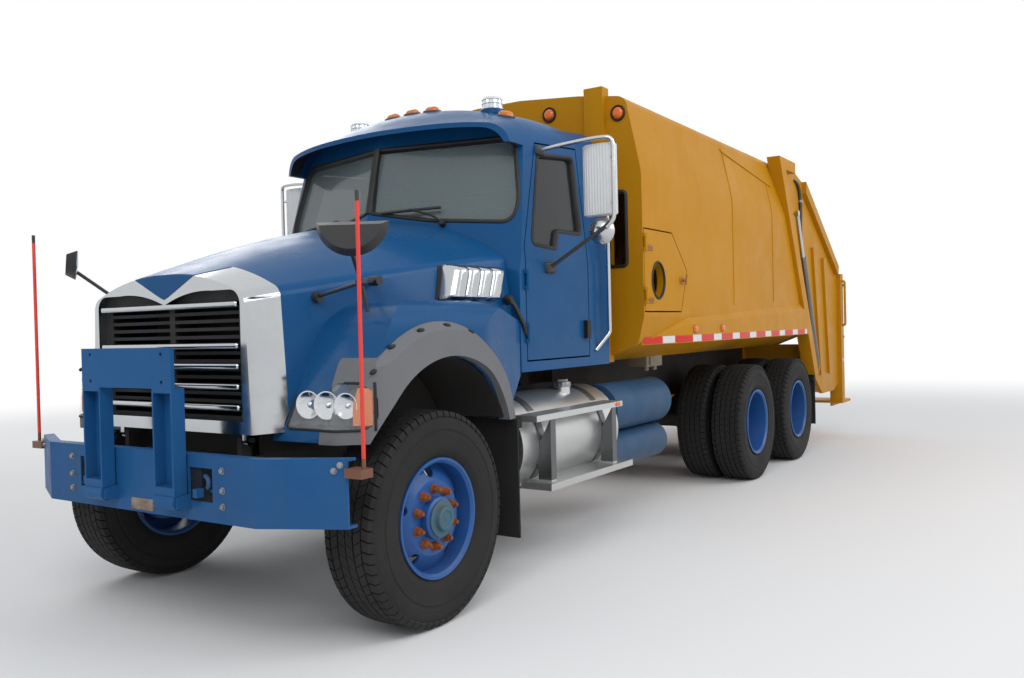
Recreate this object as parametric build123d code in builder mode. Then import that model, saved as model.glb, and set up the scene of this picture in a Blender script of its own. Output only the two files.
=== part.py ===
from build123d import *
import os
from math import cos, radians, sin, sqrt, tan

# Rear-loading refuse truck, in millimetres.
# The nose faces -Y, the driver's side is +X, +Z is up, and the tyres stand on z = 0.
# The origin is on the ground at the middle of the truck's length.

os.makedirs("parts", exist_ok=True)

# Overall reach, measured from the front axle, and the axle places
wheelbase = 4760
tandem_spacing = 1365
front_reach = 940
tail_reach = 3840
front_axle_y = (front_reach - wheelbase - tail_reach) / 2
drive_axle_y = front_axle_y + wheelbase
tail_end_y = drive_axle_y + tail_reach
axle_ys = (drive_axle_y, drive_axle_y + tandem_spacing)

# Clearances
running_gap = 0.3
panel_gap = 10
pin_gap = 0.3

# Wheels and tyres
tyre_radius = 535
tyre_seat_radius = 285.7
flange_radius = 298.5
flange_span = 236
steer_tyre_width = 300
steer_tyre_x = 1027
drive_tyre_width = 280
dual_spacing = 330
dual_x = 927
rim_thickness = 13
disc_thickness = 14
hub_radius = 105
bolt_face_radius = 186
hand_hole_radius = 30
hand_hole_circle = 230
hand_hole_count = 5
drum_radius = 205
spindle_radius = 36
steer_axle_z = tyre_radius

# Frame
rail_outer_x = 430
rail_height = 270
rail_flange = 80
rail_web = 12
frame_top_z = 1050
frame_front_y = front_axle_y - 760
frame_back_y = drive_axle_y + 1930
frame_nose_top_z = 870
cross_members = (  # y from the front axle, bottom z
    (-560, 790),
    (1560, 940),
    (2300, 860),
    (wheelbase - 1060, 825),
    (wheelbase + 680, 825),
    (wheelbase + 1880, 825),
)
cross_member_height = 80
cab_mount_ys = (1060, 1900)
sill_height = 150

# Front axle, kingpins and springs
kingpin_x = 860
kingpin_radius = 22
beam_half_depth = 60
beam_height = 110
beam_drop = 60
spring_half_length = 700
spring_width = 76
spring_thickness = 50

# Engine, gearbox and shaft
engine_half_width = 300
engine_front_y = front_axle_y - 300
engine_back_y = front_axle_y + 740
engine_bottom_z = 700
engine_top_z = 1560
gearbox_length = 700
gearbox_half_width = 190
shaft_radius = 55

# Bumper and the folding bracket on its face
bumper_bend_x = 800
bumper_end_x = 1180
bracket_pin_offset = 55
bracket_eye_radius = 35
bumper_face_y = front_axle_y - front_reach + bracket_pin_offset + bracket_eye_radius
bumper_end_y = front_axle_y - 670
bumper_bottom_z = 615
bumper_top_z = 920
bumper_plate = 12
bumper_flange = 60
hook_hole_x = (358, 520)
hook_hole_z = (705, 860)
bracket_post_x = (206, 352)
bracket_post_depth = 70
bracket_pin_z = 700
bracket_pin_radius = 12
bracket_plate_z = (1225, 1415)
bracket_bolt_spacing_x = 560
bracket_bolt_spacing_z = 130
bracket_bolt_radius = 9
pole_x = 1262
pole_radius = 9
pole_z = (880, 2070)

# Hood
hood_front_y = front_axle_y - 520
hood_wall = 25
hood_crease_radius = 70
hood_hinge_y = front_axle_y - 600
hood_hinge_z = 960
hinge_boss_radius = 30
hinge_pin_radius = 12
surround_front_y = front_axle_y - 700
surround_width = 60
grille_half_width = 560
grille_bottom_z = 1060
grille_top_z = 1680
grille_notch_depth = 60
grille_notch_half_width = 230
grille_corner_radius = 70
bar_half_length = 530
bar_height = 26
bar_zs = (1123, 1222, 1318, 1415, 1611)
slat_count = 14
slat_half_width = 500
slat_slot_height = 22
fender_inner_x = 600
fender_outer_x = 1140
fender_foot_z = 960
flare_outer_x = 1190
arch_radius = 617
arch_y = front_axle_y + 110
arch_z = 718
flare_radius = 720
flare_y = front_axle_y + 60
flare_z = 790
lamp_z = (1015, 1240)
liner_x = 640
liner_thickness = 5

# Upright hinges of the doors and the access door
hinge_eye_radius = 13
hinge_rod_radius = 6
hinge_strap = 6
hinge_lug_height = 24
hinge_height = 70
door_hinge_zs = (1400, 1720)
access_hinge_zs = (1640, 2020)

# Cab
cab_half_width = 1020
cab_nose_y = front_axle_y + 800
cab_corner_y = front_axle_y + 1000
cab_back_y = front_axle_y + 2150
cab_floor_z = 1200
cab_wall = 60
belt_z = 1890
roof_crown_z = 2985
roof_sag = 205
roof_edge_z = roof_crown_z - roof_sag
roof_lean = 90
roof_corner = 110
visor_thickness = 30
glass_yaw = 16
glass_rake = 14.2
glass_foot_y = front_axle_y + 824
glass_foot_z = 2244
glass_thickness = 6
glass_inset = 24
visor_front_y = front_axle_y + 850
door_front_y = front_axle_y + 1074
door_back_y = front_axle_y + 1853
door_bottom_z = 1270
door_top_z = roof_edge_z - 120

# Body
body_front_y = front_axle_y + 2350
body_half_width = 1200
body_wall = 60
body_floor_z = 1200
body_crown_z = 3208
seam_y = drive_axle_y + 1406
seam_z = 2564
seam_slope = 0.525
body_low_z = 860
post_outer_x = body_half_width + 40
post_depth = 150
recess_depth = 130
recess_outer_x = body_half_width - 50
recess_inner_x = body_half_width - 90
skirt_outer_x = body_half_width + 40
skirt_bottom_z = 1320

# Tailgate and packer
tailgate_hinge_y = drive_axle_y + 1290
tailgate_hinge_z = 3080
tailgate_pin_radius = 25
tailgate_wall = 40
seam_gap = 12
trough_radius = 900
trough_plate = 20
pivot_y = drive_axle_y + 2510
pivot_z = 2180
packer_travel = 750
sweep_length = 840
sweep_rest_angle = 30
carriage_length = 500
carriage_thickness = 150
packer_pin_radius = 30

# Lift cylinders of the tailgate
lift_base_y = drive_axle_y + 2225
lift_base_z = 930
lift_eye_y = drive_axle_y + 1530
lift_eye_z = 2620
lift_x = body_half_width
lift_pin_radius = 20
barrel_radius = 36
lift_rod_radius = 22
barrel_length = 1330


def side_plane(x):
    """A lengthwise upright plane at x: sketches are (y, z) and its normal is +X."""
    return Plane(origin=(x, 0, 0), x_dir=(0, 1, 0), z_dir=(1, 0, 0))


def cross_plane(y):
    """An upright plane across the truck at y: sketches are (x, z) and its normal is -Y."""
    return Plane(origin=(0, y, 0), x_dir=(1, 0, 0), z_dir=(0, -1, 0))


def plate(plane, outline, thickness, mode=Mode.ADD, inset=0):
    """Extrude a closed outline of straight lines, drawn on the plane, by the thickness."""
    with BuildSketch(plane) as sketch:
        with BuildLine():
            Polyline(*outline, close=True)
        make_face()
        if inset:
            offset(amount=-inset, kind=Kind.INTERSECTION, mode=Mode.REPLACE)
    extrude(sketch.sketch, amount=thickness, mode=mode)


def rounded_plate(plane, outline, thickness, mode=Mode.ADD, inset=0):
    """As plate, with each corner (x, y, radius) of the outline rounded; radius 0 stays sharp."""
    with BuildSketch(plane) as sketch:
        with BuildLine():
            Polyline(*[(x, y) for x, y, _ in outline], close=True)
        make_face()
        for x, y, radius in outline:
            if radius:
                corner = sketch.vertices().sort_by_distance((x, y, 0))[0]
                fillet(corner, radius)
        if inset:
            offset(amount=-inset, kind=Kind.INTERSECTION, mode=Mode.REPLACE)
    extrude(sketch.sketch, amount=thickness, mode=mode)


def block(x_span, y_span, z_span, mode=Mode.ADD):
    """A square-edged block between two limits on each axis."""
    outline = [(x_span[0], y_span[0]), (x_span[1], y_span[0]), (x_span[1], y_span[1]), (x_span[0], y_span[1])]
    plate(Plane.XY.offset(z_span[0]), outline, z_span[1] - z_span[0], mode)


def rod(start, end, radius, mode=Mode.ADD):
    """A round bar between two points."""
    reach = Vector(*end) - Vector(*start)
    with BuildSketch(Plane(origin=start, z_dir=reach)) as sketch:
        Circle(radius)
    extrude(sketch.sketch, amount=reach.length, mode=mode)


def bent_tube(points, radius, bend):
    """A round tube along straight runs joined by arcs of the bend radius."""
    with BuildLine() as path:
        FilletPolyline(*points, radius=bend)
    with BuildSketch(Plane(origin=path.line @ 0, z_dir=path.line % 0)) as sketch:
        Circle(radius)
    sweep(sketch.sketch, path=path.line)


def ring(axle_y, axle_z, outline, mode=Mode.ADD):
    """Revolve an outline of (x, radius) points about a wheel's axle."""
    with BuildSketch(cross_plane(axle_y)) as sketch:
        with BuildLine():
            Polyline(*[(x, axle_z + radius) for x, radius in outline], close=True)
        make_face()
    revolve(sketch.sketch, axis=Axis((0, axle_y, axle_z), (1, 0, 0)), mode=mode)


def hinge_knuckle(x, y, z, height, lean):
    """The moving leaf of an upright hinge: a bored knuckle with a strap towards +Y."""
    rod((x, y, z), (x, y, z + height), hinge_eye_radius)
    block((x - lean, x), (y + hinge_strap, y + hinge_eye_radius + 8), (z, z + height))
    rod((x, y, z - 1), (x, y, z + height + 1), hinge_rod_radius + pin_gap, Mode.SUBTRACT)


def hinge_lugs(x, y, z, height, lean):
    """The fixed leaf: two lugs above and below the knuckle, and the pin through all three."""
    for low in (z - hinge_lug_height - 1, z + height + 1):
        rod((x, y, low), (x, y, low + hinge_lug_height), hinge_eye_radius)
        block((x - lean, x), (y - hinge_eye_radius - 8, y - hinge_strap), (low, low + hinge_lug_height))
    rod((x, y, z - hinge_lug_height), (x, y, z + height + hinge_lug_height), hinge_rod_radius)


def seam_at(z, behind=0):
    """The y of the slanted joint between body and tailgate at height z, moved back by a distance."""
    return seam_y - seam_slope * (z - seam_z) + behind * sqrt(1 + seam_slope**2)


# Frame rails, cross members and the sills that carry the body
rail_z = (frame_top_z - rail_height, frame_top_z)
rail_inner_x = rail_outer_x - rail_flange
web_x = rail_outer_x - rail_web
rail_section = [
    (rail_outer_x, rail_z[0]),
    (rail_outer_x, rail_z[1]),
    (rail_inner_x, rail_z[1]),
    (rail_inner_x, rail_z[1] - rail_web),
    (web_x, rail_z[1] - rail_web),
    (web_x, rail_z[0] + rail_web),
    (rail_inner_x, rail_z[0] + rail_web),
    (rail_inner_x, rail_z[0]),
]
with BuildPart() as frame_rails:
    plate(cross_plane(frame_back_y), rail_section, frame_back_y - frame_front_y)
    block((rail_inner_x, rail_outer_x), (body_front_y, frame_back_y), (frame_top_z, frame_top_z + sill_height))
    for member_y, member_z in cross_members:
        centre_y = front_axle_y + member_y
        block((0, web_x), (centre_y - 30, centre_y + 30), (member_z, member_z + cross_member_height))
    for mount_y in cab_mount_ys:
        mount_span = (front_axle_y + mount_y, front_axle_y + mount_y + 110)
        block((rail_inner_x, rail_outer_x), mount_span, (frame_top_z, cab_floor_z))
    block((rail_inner_x - 5, rail_outer_x + 5), (frame_front_y - 5, front_axle_y - 470),
          (frame_nose_top_z, frame_top_z + 5), Mode.SUBTRACT)
    rod((rail_outer_x, hood_hinge_y, hood_hinge_z), (rail_outer_x + 32, hood_hinge_y, hood_hinge_z), hinge_boss_radius)
    block((rail_outer_x, rail_outer_x + 32), (hood_hinge_y - 30, hood_hinge_y + 30), (rail_z[0] + 20, hood_hinge_z))
    rod((rail_outer_x, hood_hinge_y, hood_hinge_z), (rail_outer_x + 80, hood_hinge_y, hood_hinge_z), hinge_pin_radius)
    mirror(about=Plane.YZ)
frame_rails.part.label = "frame_rails"
export_step(frame_rails.part, "parts/frame_rails.step")

# Front beam axle on leaf springs, and the tandem axles on walking beams
boss_radius = 55
boss_half_height = 55
drive_tube_radius = 75
drive_tube_end_x = 690
with BuildPart() as axles:
    beam_outline = [
        (0, steer_axle_z - beam_height / 2 - beam_drop),
        (560, steer_axle_z - beam_height / 2 - beam_drop),
        (kingpin_x - 20, steer_axle_z - boss_half_height + 10),
        (kingpin_x - 20, steer_axle_z + boss_half_height - 10),
        (520, steer_axle_z + beam_height / 2 - 20),
        (0, steer_axle_z + beam_height / 2 - 20),
    ]
    plate(cross_plane(front_axle_y + beam_half_depth), beam_outline, 2 * beam_half_depth)
    rod((kingpin_x, front_axle_y, steer_axle_z - boss_half_height),
        (kingpin_x, front_axle_y, steer_axle_z + boss_half_height), boss_radius)
    rod((kingpin_x, front_axle_y, steer_axle_z - boss_half_height),
        (kingpin_x, front_axle_y, steer_axle_z + boss_half_height), kingpin_radius + pin_gap, Mode.SUBTRACT)
    spring_bottom_z = steer_axle_z + beam_height / 2 - 20
    spring_outline = [
        (front_axle_y - spring_half_length, rail_z[0]),
        (front_axle_y - spring_half_length, rail_z[0] - spring_thickness),
        (front_axle_y - 120, spring_bottom_z),
        (front_axle_y + 120, spring_bottom_z),
        (front_axle_y + spring_half_length, rail_z[0] - spring_thickness),
        (front_axle_y + spring_half_length, rail_z[0]),
        (front_axle_y + spring_half_length - 60, rail_z[0]),
        (front_axle_y + 120, spring_bottom_z + 70),
        (front_axle_y - 120, spring_bottom_z + 70),
        (front_axle_y - spring_half_length + 60, rail_z[0]),
    ]
    plate(side_plane(rail_outer_x - spring_width), spring_outline, spring_width)
    for axle_y in axle_ys:
        rod((0, axle_y, tyre_radius), (drive_tube_end_x, axle_y, tyre_radius), drive_tube_radius)
        rod((drive_tube_end_x, axle_y, tyre_radius), (dual_x, axle_y, tyre_radius), spindle_radius)
        ring(axle_y, tyre_radius, [(0, 0), (0, 215), (90, 205), (210, 90), (210, 0)])
    walking_beam = [
        (axle_ys[0] - 90, tyre_radius - 60),
        (axle_ys[0] + 90, tyre_radius - 130),
        (axle_ys[1] - 90, tyre_radius - 130),
        (axle_ys[1] + 90, tyre_radius - 60),
        (axle_ys[1] + 90, tyre_radius + 40),
        (axle_ys[0] - 90, tyre_radius + 40),
    ]
    plate(side_plane(rail_outer_x), walking_beam, 90)
    trunnion_y = sum(axle_ys) / 2
    trunnion = [
        (trunnion_y - 90, tyre_radius),
        (trunnion_y + 90, tyre_radius),
        (trunnion_y + 260, rail_z[0]),
        (trunnion_y - 260, rail_z[0]),
    ]
    plate(side_plane(rail_inner_x), trunnion, rail_outer_x + 90 - rail_inner_x)
    mirror(about=Plane.YZ)
axles.part.label = "axles"
export_step(axles.part, "parts/axles.step")

# Engine with radiator, gearbox, propeller shaft, and the engine's feet on the rails
gearbox_back_y = engine_back_y + gearbox_length
with BuildPart() as engine:
    engine_outline = [
        (engine_front_y, engine_bottom_z + 120),
        (engine_back_y, engine_bottom_z),
        (engine_back_y, engine_top_z),
        (engine_front_y, engine_top_z),
    ]
    plate(side_plane(0), engine_outline, engine_half_width)
    block((0, gearbox_half_width), (engine_back_y, gearbox_back_y), (engine_bottom_z, frame_top_z + 60))
    rod((0, gearbox_back_y, 880), (0, axle_ys[0] - 217, tyre_radius + 20), shaft_radius)
    block((0, web_x), (front_axle_y + 150, front_axle_y + 270), (840, 960))
    radiator_y = (front_axle_y - 500, front_axle_y - 420)
    block((0, rail_inner_x - 5), radiator_y, (rail_z[0] + 60, 1640))
    block((0, 60), (radiator_y[1], engine_front_y), (1100, 1200))
    mirror(about=Plane.YZ)
engine.part.label = "engine"
export_step(engine.part, "parts/engine.step")

# Bumper: a swept-back channel with two hook holes, carried on two frame horns
bumper_line = [
    (0, bumper_face_y),
    (bumper_bend_x, bumper_face_y),
    (bumper_end_x, bumper_end_y),
]
bumper_face = bumper_line + [(bumper_end_x, bumper_end_y + bumper_plate)]
bumper_face = bumper_face + [(bumper_bend_x, bumper_face_y + bumper_plate), (0, bumper_face_y + bumper_plate)]
bumper_lip = bumper_line + [(bumper_end_x, bumper_end_y + bumper_flange)]
bumper_lip = bumper_lip + [(bumper_bend_x, bumper_face_y + bumper_flange), (0, bumper_face_y + bumper_flange)]
lug_x = ((bracket_post_x[0] - 14, bracket_post_x[0] - 2), (bracket_post_x[1] + 2, bracket_post_x[1] + 14))
bracket_pin_y = bumper_face_y - bracket_pin_offset
horn_y = (bumper_face_y + bumper_plate, frame_front_y)
with BuildPart() as bumper:
    plate(Plane.XY.offset(bumper_bottom_z), bumper_face, bumper_top_z - bumper_bottom_z)
    plate(Plane.XY.offset(bumper_bottom_z), bumper_lip, bumper_plate)
    plate(Plane.XY.offset(bumper_top_z - bumper_plate), bumper_lip, bumper_plate)
    block(hook_hole_x, (bumper_face_y - 5, bumper_face_y + bumper_plate + 5), hook_hole_z, Mode.SUBTRACT)
    block((rail_inner_x + 5, rail_outer_x), horn_y, (rail_z[0] - 40, frame_nose_top_z))
    hook_z = (hook_hole_z[0] + 20, hook_hole_z[0] + 60)
    block((hook_hole_x[0] + 60, hook_hole_x[0] + 90), (bumper_face_y - 30, horn_y[1] - 5), hook_z)
    block((rail_outer_x, hook_hole_x[0] + 90), (horn_y[1] - 60, horn_y[1]), hook_z)
    for span in lug_x:
        lug = [
            (bumper_face_y, bracket_pin_z - 35),
            (bumper_face_y, bracket_pin_z + 35),
            (bracket_pin_y - 20, bracket_pin_z + 25),
            (bracket_pin_y - 20, bracket_pin_z - 25),
        ]
        plate(side_plane(span[0]), lug, span[1] - span[0])
    rod((lug_x[0][0], bracket_pin_y, bracket_pin_z), (lug_x[1][1], bracket_pin_y, bracket_pin_z), bracket_pin_radius)
    mirror(about=Plane.YZ)
bumper.part.label = "front_bumper"
export_step(bumper.part, "parts/front_bumper.step")

# Marker poles on small brackets at the bumper's ends
with BuildPart() as poles:
    bracket_y = (bumper_end_y - 15, bumper_end_y + bumper_flange)
    block((bumper_end_x, pole_x + 15), bracket_y, (pole_z[0] - 40, pole_z[0]))
    rod((pole_x, bumper_end_y + 20, pole_z[0]), (pole_x, bumper_end_y + 20, pole_z[1]), pole_radius)
    mirror(about=Plane.YZ)
poles.part.label = "marker_poles"
export_step(poles.part, "parts/marker_poles.step")

# Folding bracket: two channel posts on pins, joined by a drilled plate
bracket_back_y = bumper_face_y - 10
bracket_front_y = bracket_back_y - bracket_post_depth
with BuildPart() as plow_bracket:
    foot_z = bracket_pin_z + 30
    block(bracket_post_x, (bracket_front_y, bracket_back_y), (foot_z, bracket_plate_z[0]))
    block((bracket_post_x[0] + 10, bracket_post_x[1] - 10), (bracket_front_y - 5, bracket_back_y - 10),
          (foot_z + 40, bracket_plate_z[0] - 20), Mode.SUBTRACT)
    rod((bracket_post_x[0], bracket_pin_y, bracket_pin_z), (bracket_post_x[1], bracket_pin_y, bracket_pin_z),
        bracket_eye_radius)
    block(bracket_post_x, (bracket_pin_y - 30, bracket_pin_y + 30), (bracket_pin_z, foot_z))
    rod((bracket_post_x[0], bracket_pin_y, bracket_pin_z), (bracket_post_x[1], bracket_pin_y, bracket_pin_z),
        bracket_pin_radius + pin_gap, Mode.SUBTRACT)
    block((0, bracket_post_x[1]), (bracket_front_y, bracket_front_y + 20), bracket_plate_z)
    block((bracket_post_x[0], bracket_post_x[1]), (bracket_front_y, bracket_back_y),
          (bracket_plate_z[0] - 12, bracket_plate_z[0]))
    mirror(about=Plane.YZ)
    with BuildSketch(cross_plane(bracket_front_y + 20)) as bolt_holes:
        with Locations((0, sum(bracket_plate_z) / 2)):
            with GridLocations(bracket_bolt_spacing_x, bracket_bolt_spacing_z, 2, 2):
                Circle(bracket_bolt_radius)
    extrude(bolt_holes.sketch, amount=20, mode=Mode.SUBTRACT)
plow_bracket.part.label = "plow_bracket"
export_step(plow_bracket.part, "parts/plow_bracket.step")

# Hood sections: station y, crown z, crease x and z, foot x and z
hood_stations = [
    (surround_front_y, 1770, 590, 1655, 620, 1000),
    (front_axle_y - 300, 1905, 690, 1715, 750, 1000),
    (front_axle_y + 350, 2075, 830, 1815, 950, 1200),
    (front_axle_y + 1010, 2185, 935, 1895, 1012, 1200),
]


def hood_loft(stations, inset):
    """Half the hood's centre: crowned sections with a side crease, drawn in all round and open below."""
    sections = []
    for y, crown_z, crease_x, crease_z, foot_x, foot_z in stations:
        with BuildSketch(cross_plane(y)) as section:
            with BuildLine():
                mid_x = crease_x * 0.55
                mid_z = crown_z - (crown_z - crease_z) * 0.25
                ThreePointArc((0, crown_z - inset), (mid_x, mid_z - inset), (crease_x - inset, crease_z - inset))
                Line((crease_x - inset, crease_z - inset), (foot_x - inset, foot_z - 4 * inset))
                Line((foot_x - inset, foot_z - 4 * inset), (0, foot_z - 4 * inset))
                Line((0, foot_z - 4 * inset), (0, crown_z - inset))
            make_face()
            crease = section.vertices().sort_by_distance((crease_x - inset, crease_z - inset, 0))[0]
            fillet(crease, hood_crease_radius)
        sections.append(section.sketch)
    loft(sections, ruled=len(sections) == 2)


def station_at(y):
    """The hood's section values at y, between the two nearest rows of the table."""
    for near, far in zip(hood_stations, hood_stations[1:]):
        if near[0] <= y <= far[0]:
            share = (y - near[0]) / (far[0] - near[0])
            return tuple(a + share * (b - a) for a, b in zip(near, far))
    raise ValueError("the hood has no section at that place")


fender_side = [  # y, z, corner radius
    (front_axle_y - 560, fender_foot_z, 0),
    (front_axle_y - 540, lamp_z[0] + 20, 0),
    (front_axle_y - 430, lamp_z[1] + 40, 200),
    (front_axle_y - 270, 1610, 330),
    (front_axle_y + 500, 1622, 600),
    (front_axle_y + 1010, 1500, 0),
    (front_axle_y + 1010, cab_floor_z, 0),
    (front_axle_y + 760, fender_foot_z, 0),
]
fender_plan = [  # x, y, corner radius
    (fender_inner_x, front_axle_y - 570, 0),
    (960, front_axle_y - 550, 150),
    (fender_outer_x, front_axle_y - 420, 180),
    (fender_outer_x, front_axle_y + 480, 400),
    (1012, front_axle_y + 1010, 0),
    (fender_inner_x, front_axle_y + 1010, 0),
]
fender_cross = [  # x, z, corner radius
    (fender_inner_x, 0, 0),
    (fender_outer_x, 0, 0),
    (fender_outer_x, 1625, 170),
    (fender_inner_x, 1650, 0),
]


def fender_solid(inset, drop):
    """Half the fender: its side, plan and cross outlines intersected, and dropped to open it below."""
    reach = 4 * inset
    side = [(y, z - drop if z <= cab_floor_z - 100 else z, max(0, radius - inset)) for y, z, radius in fender_side]
    plan = [(x - reach if x == fender_inner_x else x, y, radius) for x, y, radius in fender_plan]
    cross = [(x - reach if x == fender_inner_x else x, z, radius) for x, z, radius in fender_cross]
    rounded_plate(side_plane(fender_inner_x - reach), side, 700, inset=inset)
    rounded_plate(Plane.XY.offset(0), plan, 3000, Mode.INTERSECT, inset=inset)
    rounded_plate(cross_plane(front_axle_y + 3000), cross, 6000, Mode.INTERSECT, inset=inset)


nose_stations = [station_at(hood_front_y)] + hood_stations[1:]
with BuildPart() as nose_outer:
    hood_loft(nose_stations, 0)
with BuildPart() as nose_inner:
    hood_loft(nose_stations, hood_wall)
with BuildPart() as surround_outer:
    hood_loft([hood_stations[0], station_at(hood_front_y)], 0)
with BuildPart() as fender_outer:
    fender_solid(0, 0)
with BuildPart() as fender_inner:
    fender_solid(hood_wall, 200)
lamp_plan = [  # x, y, corner radius
    (fender_inner_x + 70, front_axle_y - 620, 0),
    (fender_outer_x + 80, front_axle_y - 620, 0),
    (fender_outer_x + 80, front_axle_y - 405, 0),
    (fender_outer_x - 90, front_axle_y - 405, 120),
    (fender_inner_x + 330, front_axle_y - 470, 0),
    (fender_inner_x + 70, front_axle_y - 480, 0),
]
lamp_face = [  # x, z, corner radius
    (fender_inner_x + 75, lamp_z[0], 20),
    (fender_outer_x + 15, lamp_z[0], 70),
    (fender_outer_x + 15, lamp_z[1], 90),
    (fender_inner_x + 95, lamp_z[1] - 22, 20),
]
flare_plan = [  # x, y, corner radius
    (fender_inner_x + 310, front_axle_y - 566, 0),
    (1000, front_axle_y - 562, 100),
    (flare_outer_x, front_axle_y - 410, 190),
    (flare_outer_x, front_axle_y + 430, 400),
    (1075, front_axle_y + 1010, 0),
    (fender_inner_x + 310, front_axle_y + 1010, 0),
]
flare_side = [  # y, z, corner radius
    (front_axle_y - 576, fender_foot_z - 60, 0),
    (front_axle_y - 554, lamp_z[0] + 15, 0),
    (front_axle_y - 442, lamp_z[1] + 45, 200),
    (front_axle_y - 262, 1640, 0),
    (front_axle_y + 1010, 1640, 0),
    (front_axle_y + 1010, fender_foot_z - 60, 0),
]
with BuildPart() as lamp_pocket:
    rounded_plate(Plane.XY.offset(lamp_z[0] - 50), lamp_plan, lamp_z[1] - lamp_z[0] + 100)
    rounded_plate(cross_plane(front_axle_y), lamp_face, 1000, Mode.INTERSECT)
rear_edge_slope = (cab_corner_y - cab_nose_y) / cab_half_width
rear_edge = [
    (-50, cab_nose_y - panel_gap - 50 * rear_edge_slope),
    (1300, cab_nose_y - panel_gap + 1300 * rear_edge_slope),
    (1300, cab_nose_y + 1500),
    (-50, cab_nose_y + 1500),
]
with BuildPart() as hood:
    add(nose_outer.part)
    add(fender_outer.part)
    add(nose_inner.part, mode=Mode.SUBTRACT)
    add(fender_inner.part, mode=Mode.SUBTRACT)
    add(surround_outer.part, mode=Mode.SUBTRACT)
    rod((500, arch_y, arch_z), (1300, arch_y, arch_z), arch_radius, Mode.SUBTRACT)
    add(lamp_pocket.part, mode=Mode.SUBTRACT)
    plate(Plane.XY.offset(500), rear_edge, 3000, Mode.SUBTRACT)
    mirror(about=Plane.YZ)
hood.part.label = "hood"
export_step(hood.part, "parts/hood.step")

# Headlamps fill their pockets in the fenders, wrapping round the outer corner under the flare
with BuildPart() as lamp_skin:
    add(fender_outer.part)
    rounded_plate(Plane.XY.offset(lamp_z[0] - 200), flare_plan, lamp_z[1] - lamp_z[0] + 400)
    rounded_plate(side_plane(fender_inner_x), flare_side, 700, Mode.INTERSECT)
with BuildPart() as headlamps:
    add(lamp_skin.part)
    add(surround_outer.part, mode=Mode.SUBTRACT)
    add(nose_outer.part, mode=Mode.SUBTRACT)
    add(lamp_pocket.part, mode=Mode.INTERSECT)
    mirror(about=Plane.YZ)
headlamps.part.label = "headlamps"
export_step(headlamps.part, "parts/headlamps.step")

# Grey flares: bands round the wheel arches that run forward and under the headlamps
flare_low_z = fender_foot_z - 5
with BuildPart() as flares:
    rod((fender_inner_x + 310, flare_y, flare_z), (flare_outer_x, flare_y, flare_z), flare_radius)
    chamfer_ring = [(flare_outer_x - 60, flare_radius + 10), (flare_outer_x + 10, flare_radius + 10)]
    chamfer_ring = chamfer_ring + [(flare_outer_x + 10, flare_radius - 50)]
    ring(flare_y, flare_z, chamfer_ring, Mode.SUBTRACT)
    rounded_plate(Plane.XY.offset(0), flare_plan, 2000, Mode.INTERSECT)
    rounded_plate(side_plane(fender_inner_x), flare_side, 700, Mode.INTERSECT)
    rod((800, arch_y, arch_z), (flare_outer_x + 10, arch_y, arch_z), arch_radius, Mode.SUBTRACT)
    block((800, 1300), (front_axle_y - 1500, front_axle_y + 1500), (-500, flare_low_z), Mode.SUBTRACT)
    add(fender_outer.part, mode=Mode.SUBTRACT)
    add(lamp_pocket.part, mode=Mode.SUBTRACT)
    add(fender_inner.part, mode=Mode.SUBTRACT)
    mirror(about=Plane.YZ)
flares.part.label = "fender_flares"
export_step(flares.part, "parts/fender_flares.step")

# Black liners inside the arches: an arched sheet and the wall that closes it towards the engine
with BuildPart() as liners:
    rod((liner_x, arch_y, arch_z), (fender_outer_x - hood_wall - 10, arch_y, arch_z), arch_radius - 1)
    rod((liner_x + liner_thickness, arch_y, arch_z), (fender_outer_x, arch_y, arch_z),
        arch_radius - 1 - liner_thickness, Mode.SUBTRACT)
    block((liner_x - 10, fender_outer_x), (front_axle_y - 1500, front_axle_y + 1500), (-500, fender_foot_z + 10),
          Mode.SUBTRACT)
    add(hood.part, mode=Mode.SUBTRACT)
    add(headlamps.part, mode=Mode.SUBTRACT)
    add(flares.part, mode=Mode.SUBTRACT)
    mirror(about=Plane.YZ)
liners.part.label = "fender_liners"
export_step(liners.part, "parts/fender_liners.step")

# Grille surround with its notch and bars, and the slatted grille behind them
grille_face_y = surround_front_y + 45

def grille_face(depth, mode):
    """Half the grille opening, with a brow that dips to the middle in one long curve, extruded by a depth."""
    with BuildSketch(cross_plane(hood_front_y)) as face:
        with BuildLine():
            Polyline((0, grille_top_z - grille_notch_depth), (0, grille_bottom_z), (grille_half_width, grille_bottom_z),
                     (grille_half_width, grille_top_z), (1.6 * grille_notch_half_width, grille_top_z))
            ThreePointArc((1.6 * grille_notch_half_width, grille_top_z),
                          (0.6 * grille_notch_half_width, grille_top_z - 0.28 * grille_notch_depth),
                          (0, grille_top_z - grille_notch_depth))
        make_face()
        fillet(face.vertices().sort_by_distance((grille_half_width, grille_top_z, 0))[0], grille_corner_radius)
    extrude(face.sketch, amount=depth, mode=mode)


with BuildPart() as surround:
    add(surround_outer.part)
    grille_face(300, Mode.SUBTRACT)
    lug_span = (rail_outer_x + 40, rail_outer_x + 70)
    rod((lug_span[0], hood_hinge_y, hood_hinge_z), (lug_span[1], hood_hinge_y, hood_hinge_z), hinge_boss_radius)
    block(lug_span, (hood_hinge_y - 30, hood_hinge_y + 30), (hood_hinge_z, grille_bottom_z))
    rod((lug_span[0], hood_hinge_y, hood_hinge_z), (lug_span[1], hood_hinge_y, hood_hinge_z),
        hinge_pin_radius + pin_gap, Mode.SUBTRACT)
    mirror(about=Plane.YZ)
    for bar_z in bar_zs:
        block((-bar_half_length, bar_half_length), (surround_front_y + 15, grille_face_y),
              (bar_z - bar_height / 2, bar_z + bar_height / 2))
surround.part.label = "grille_surround"
export_step(surround.part, "parts/grille_surround.step")

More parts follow.
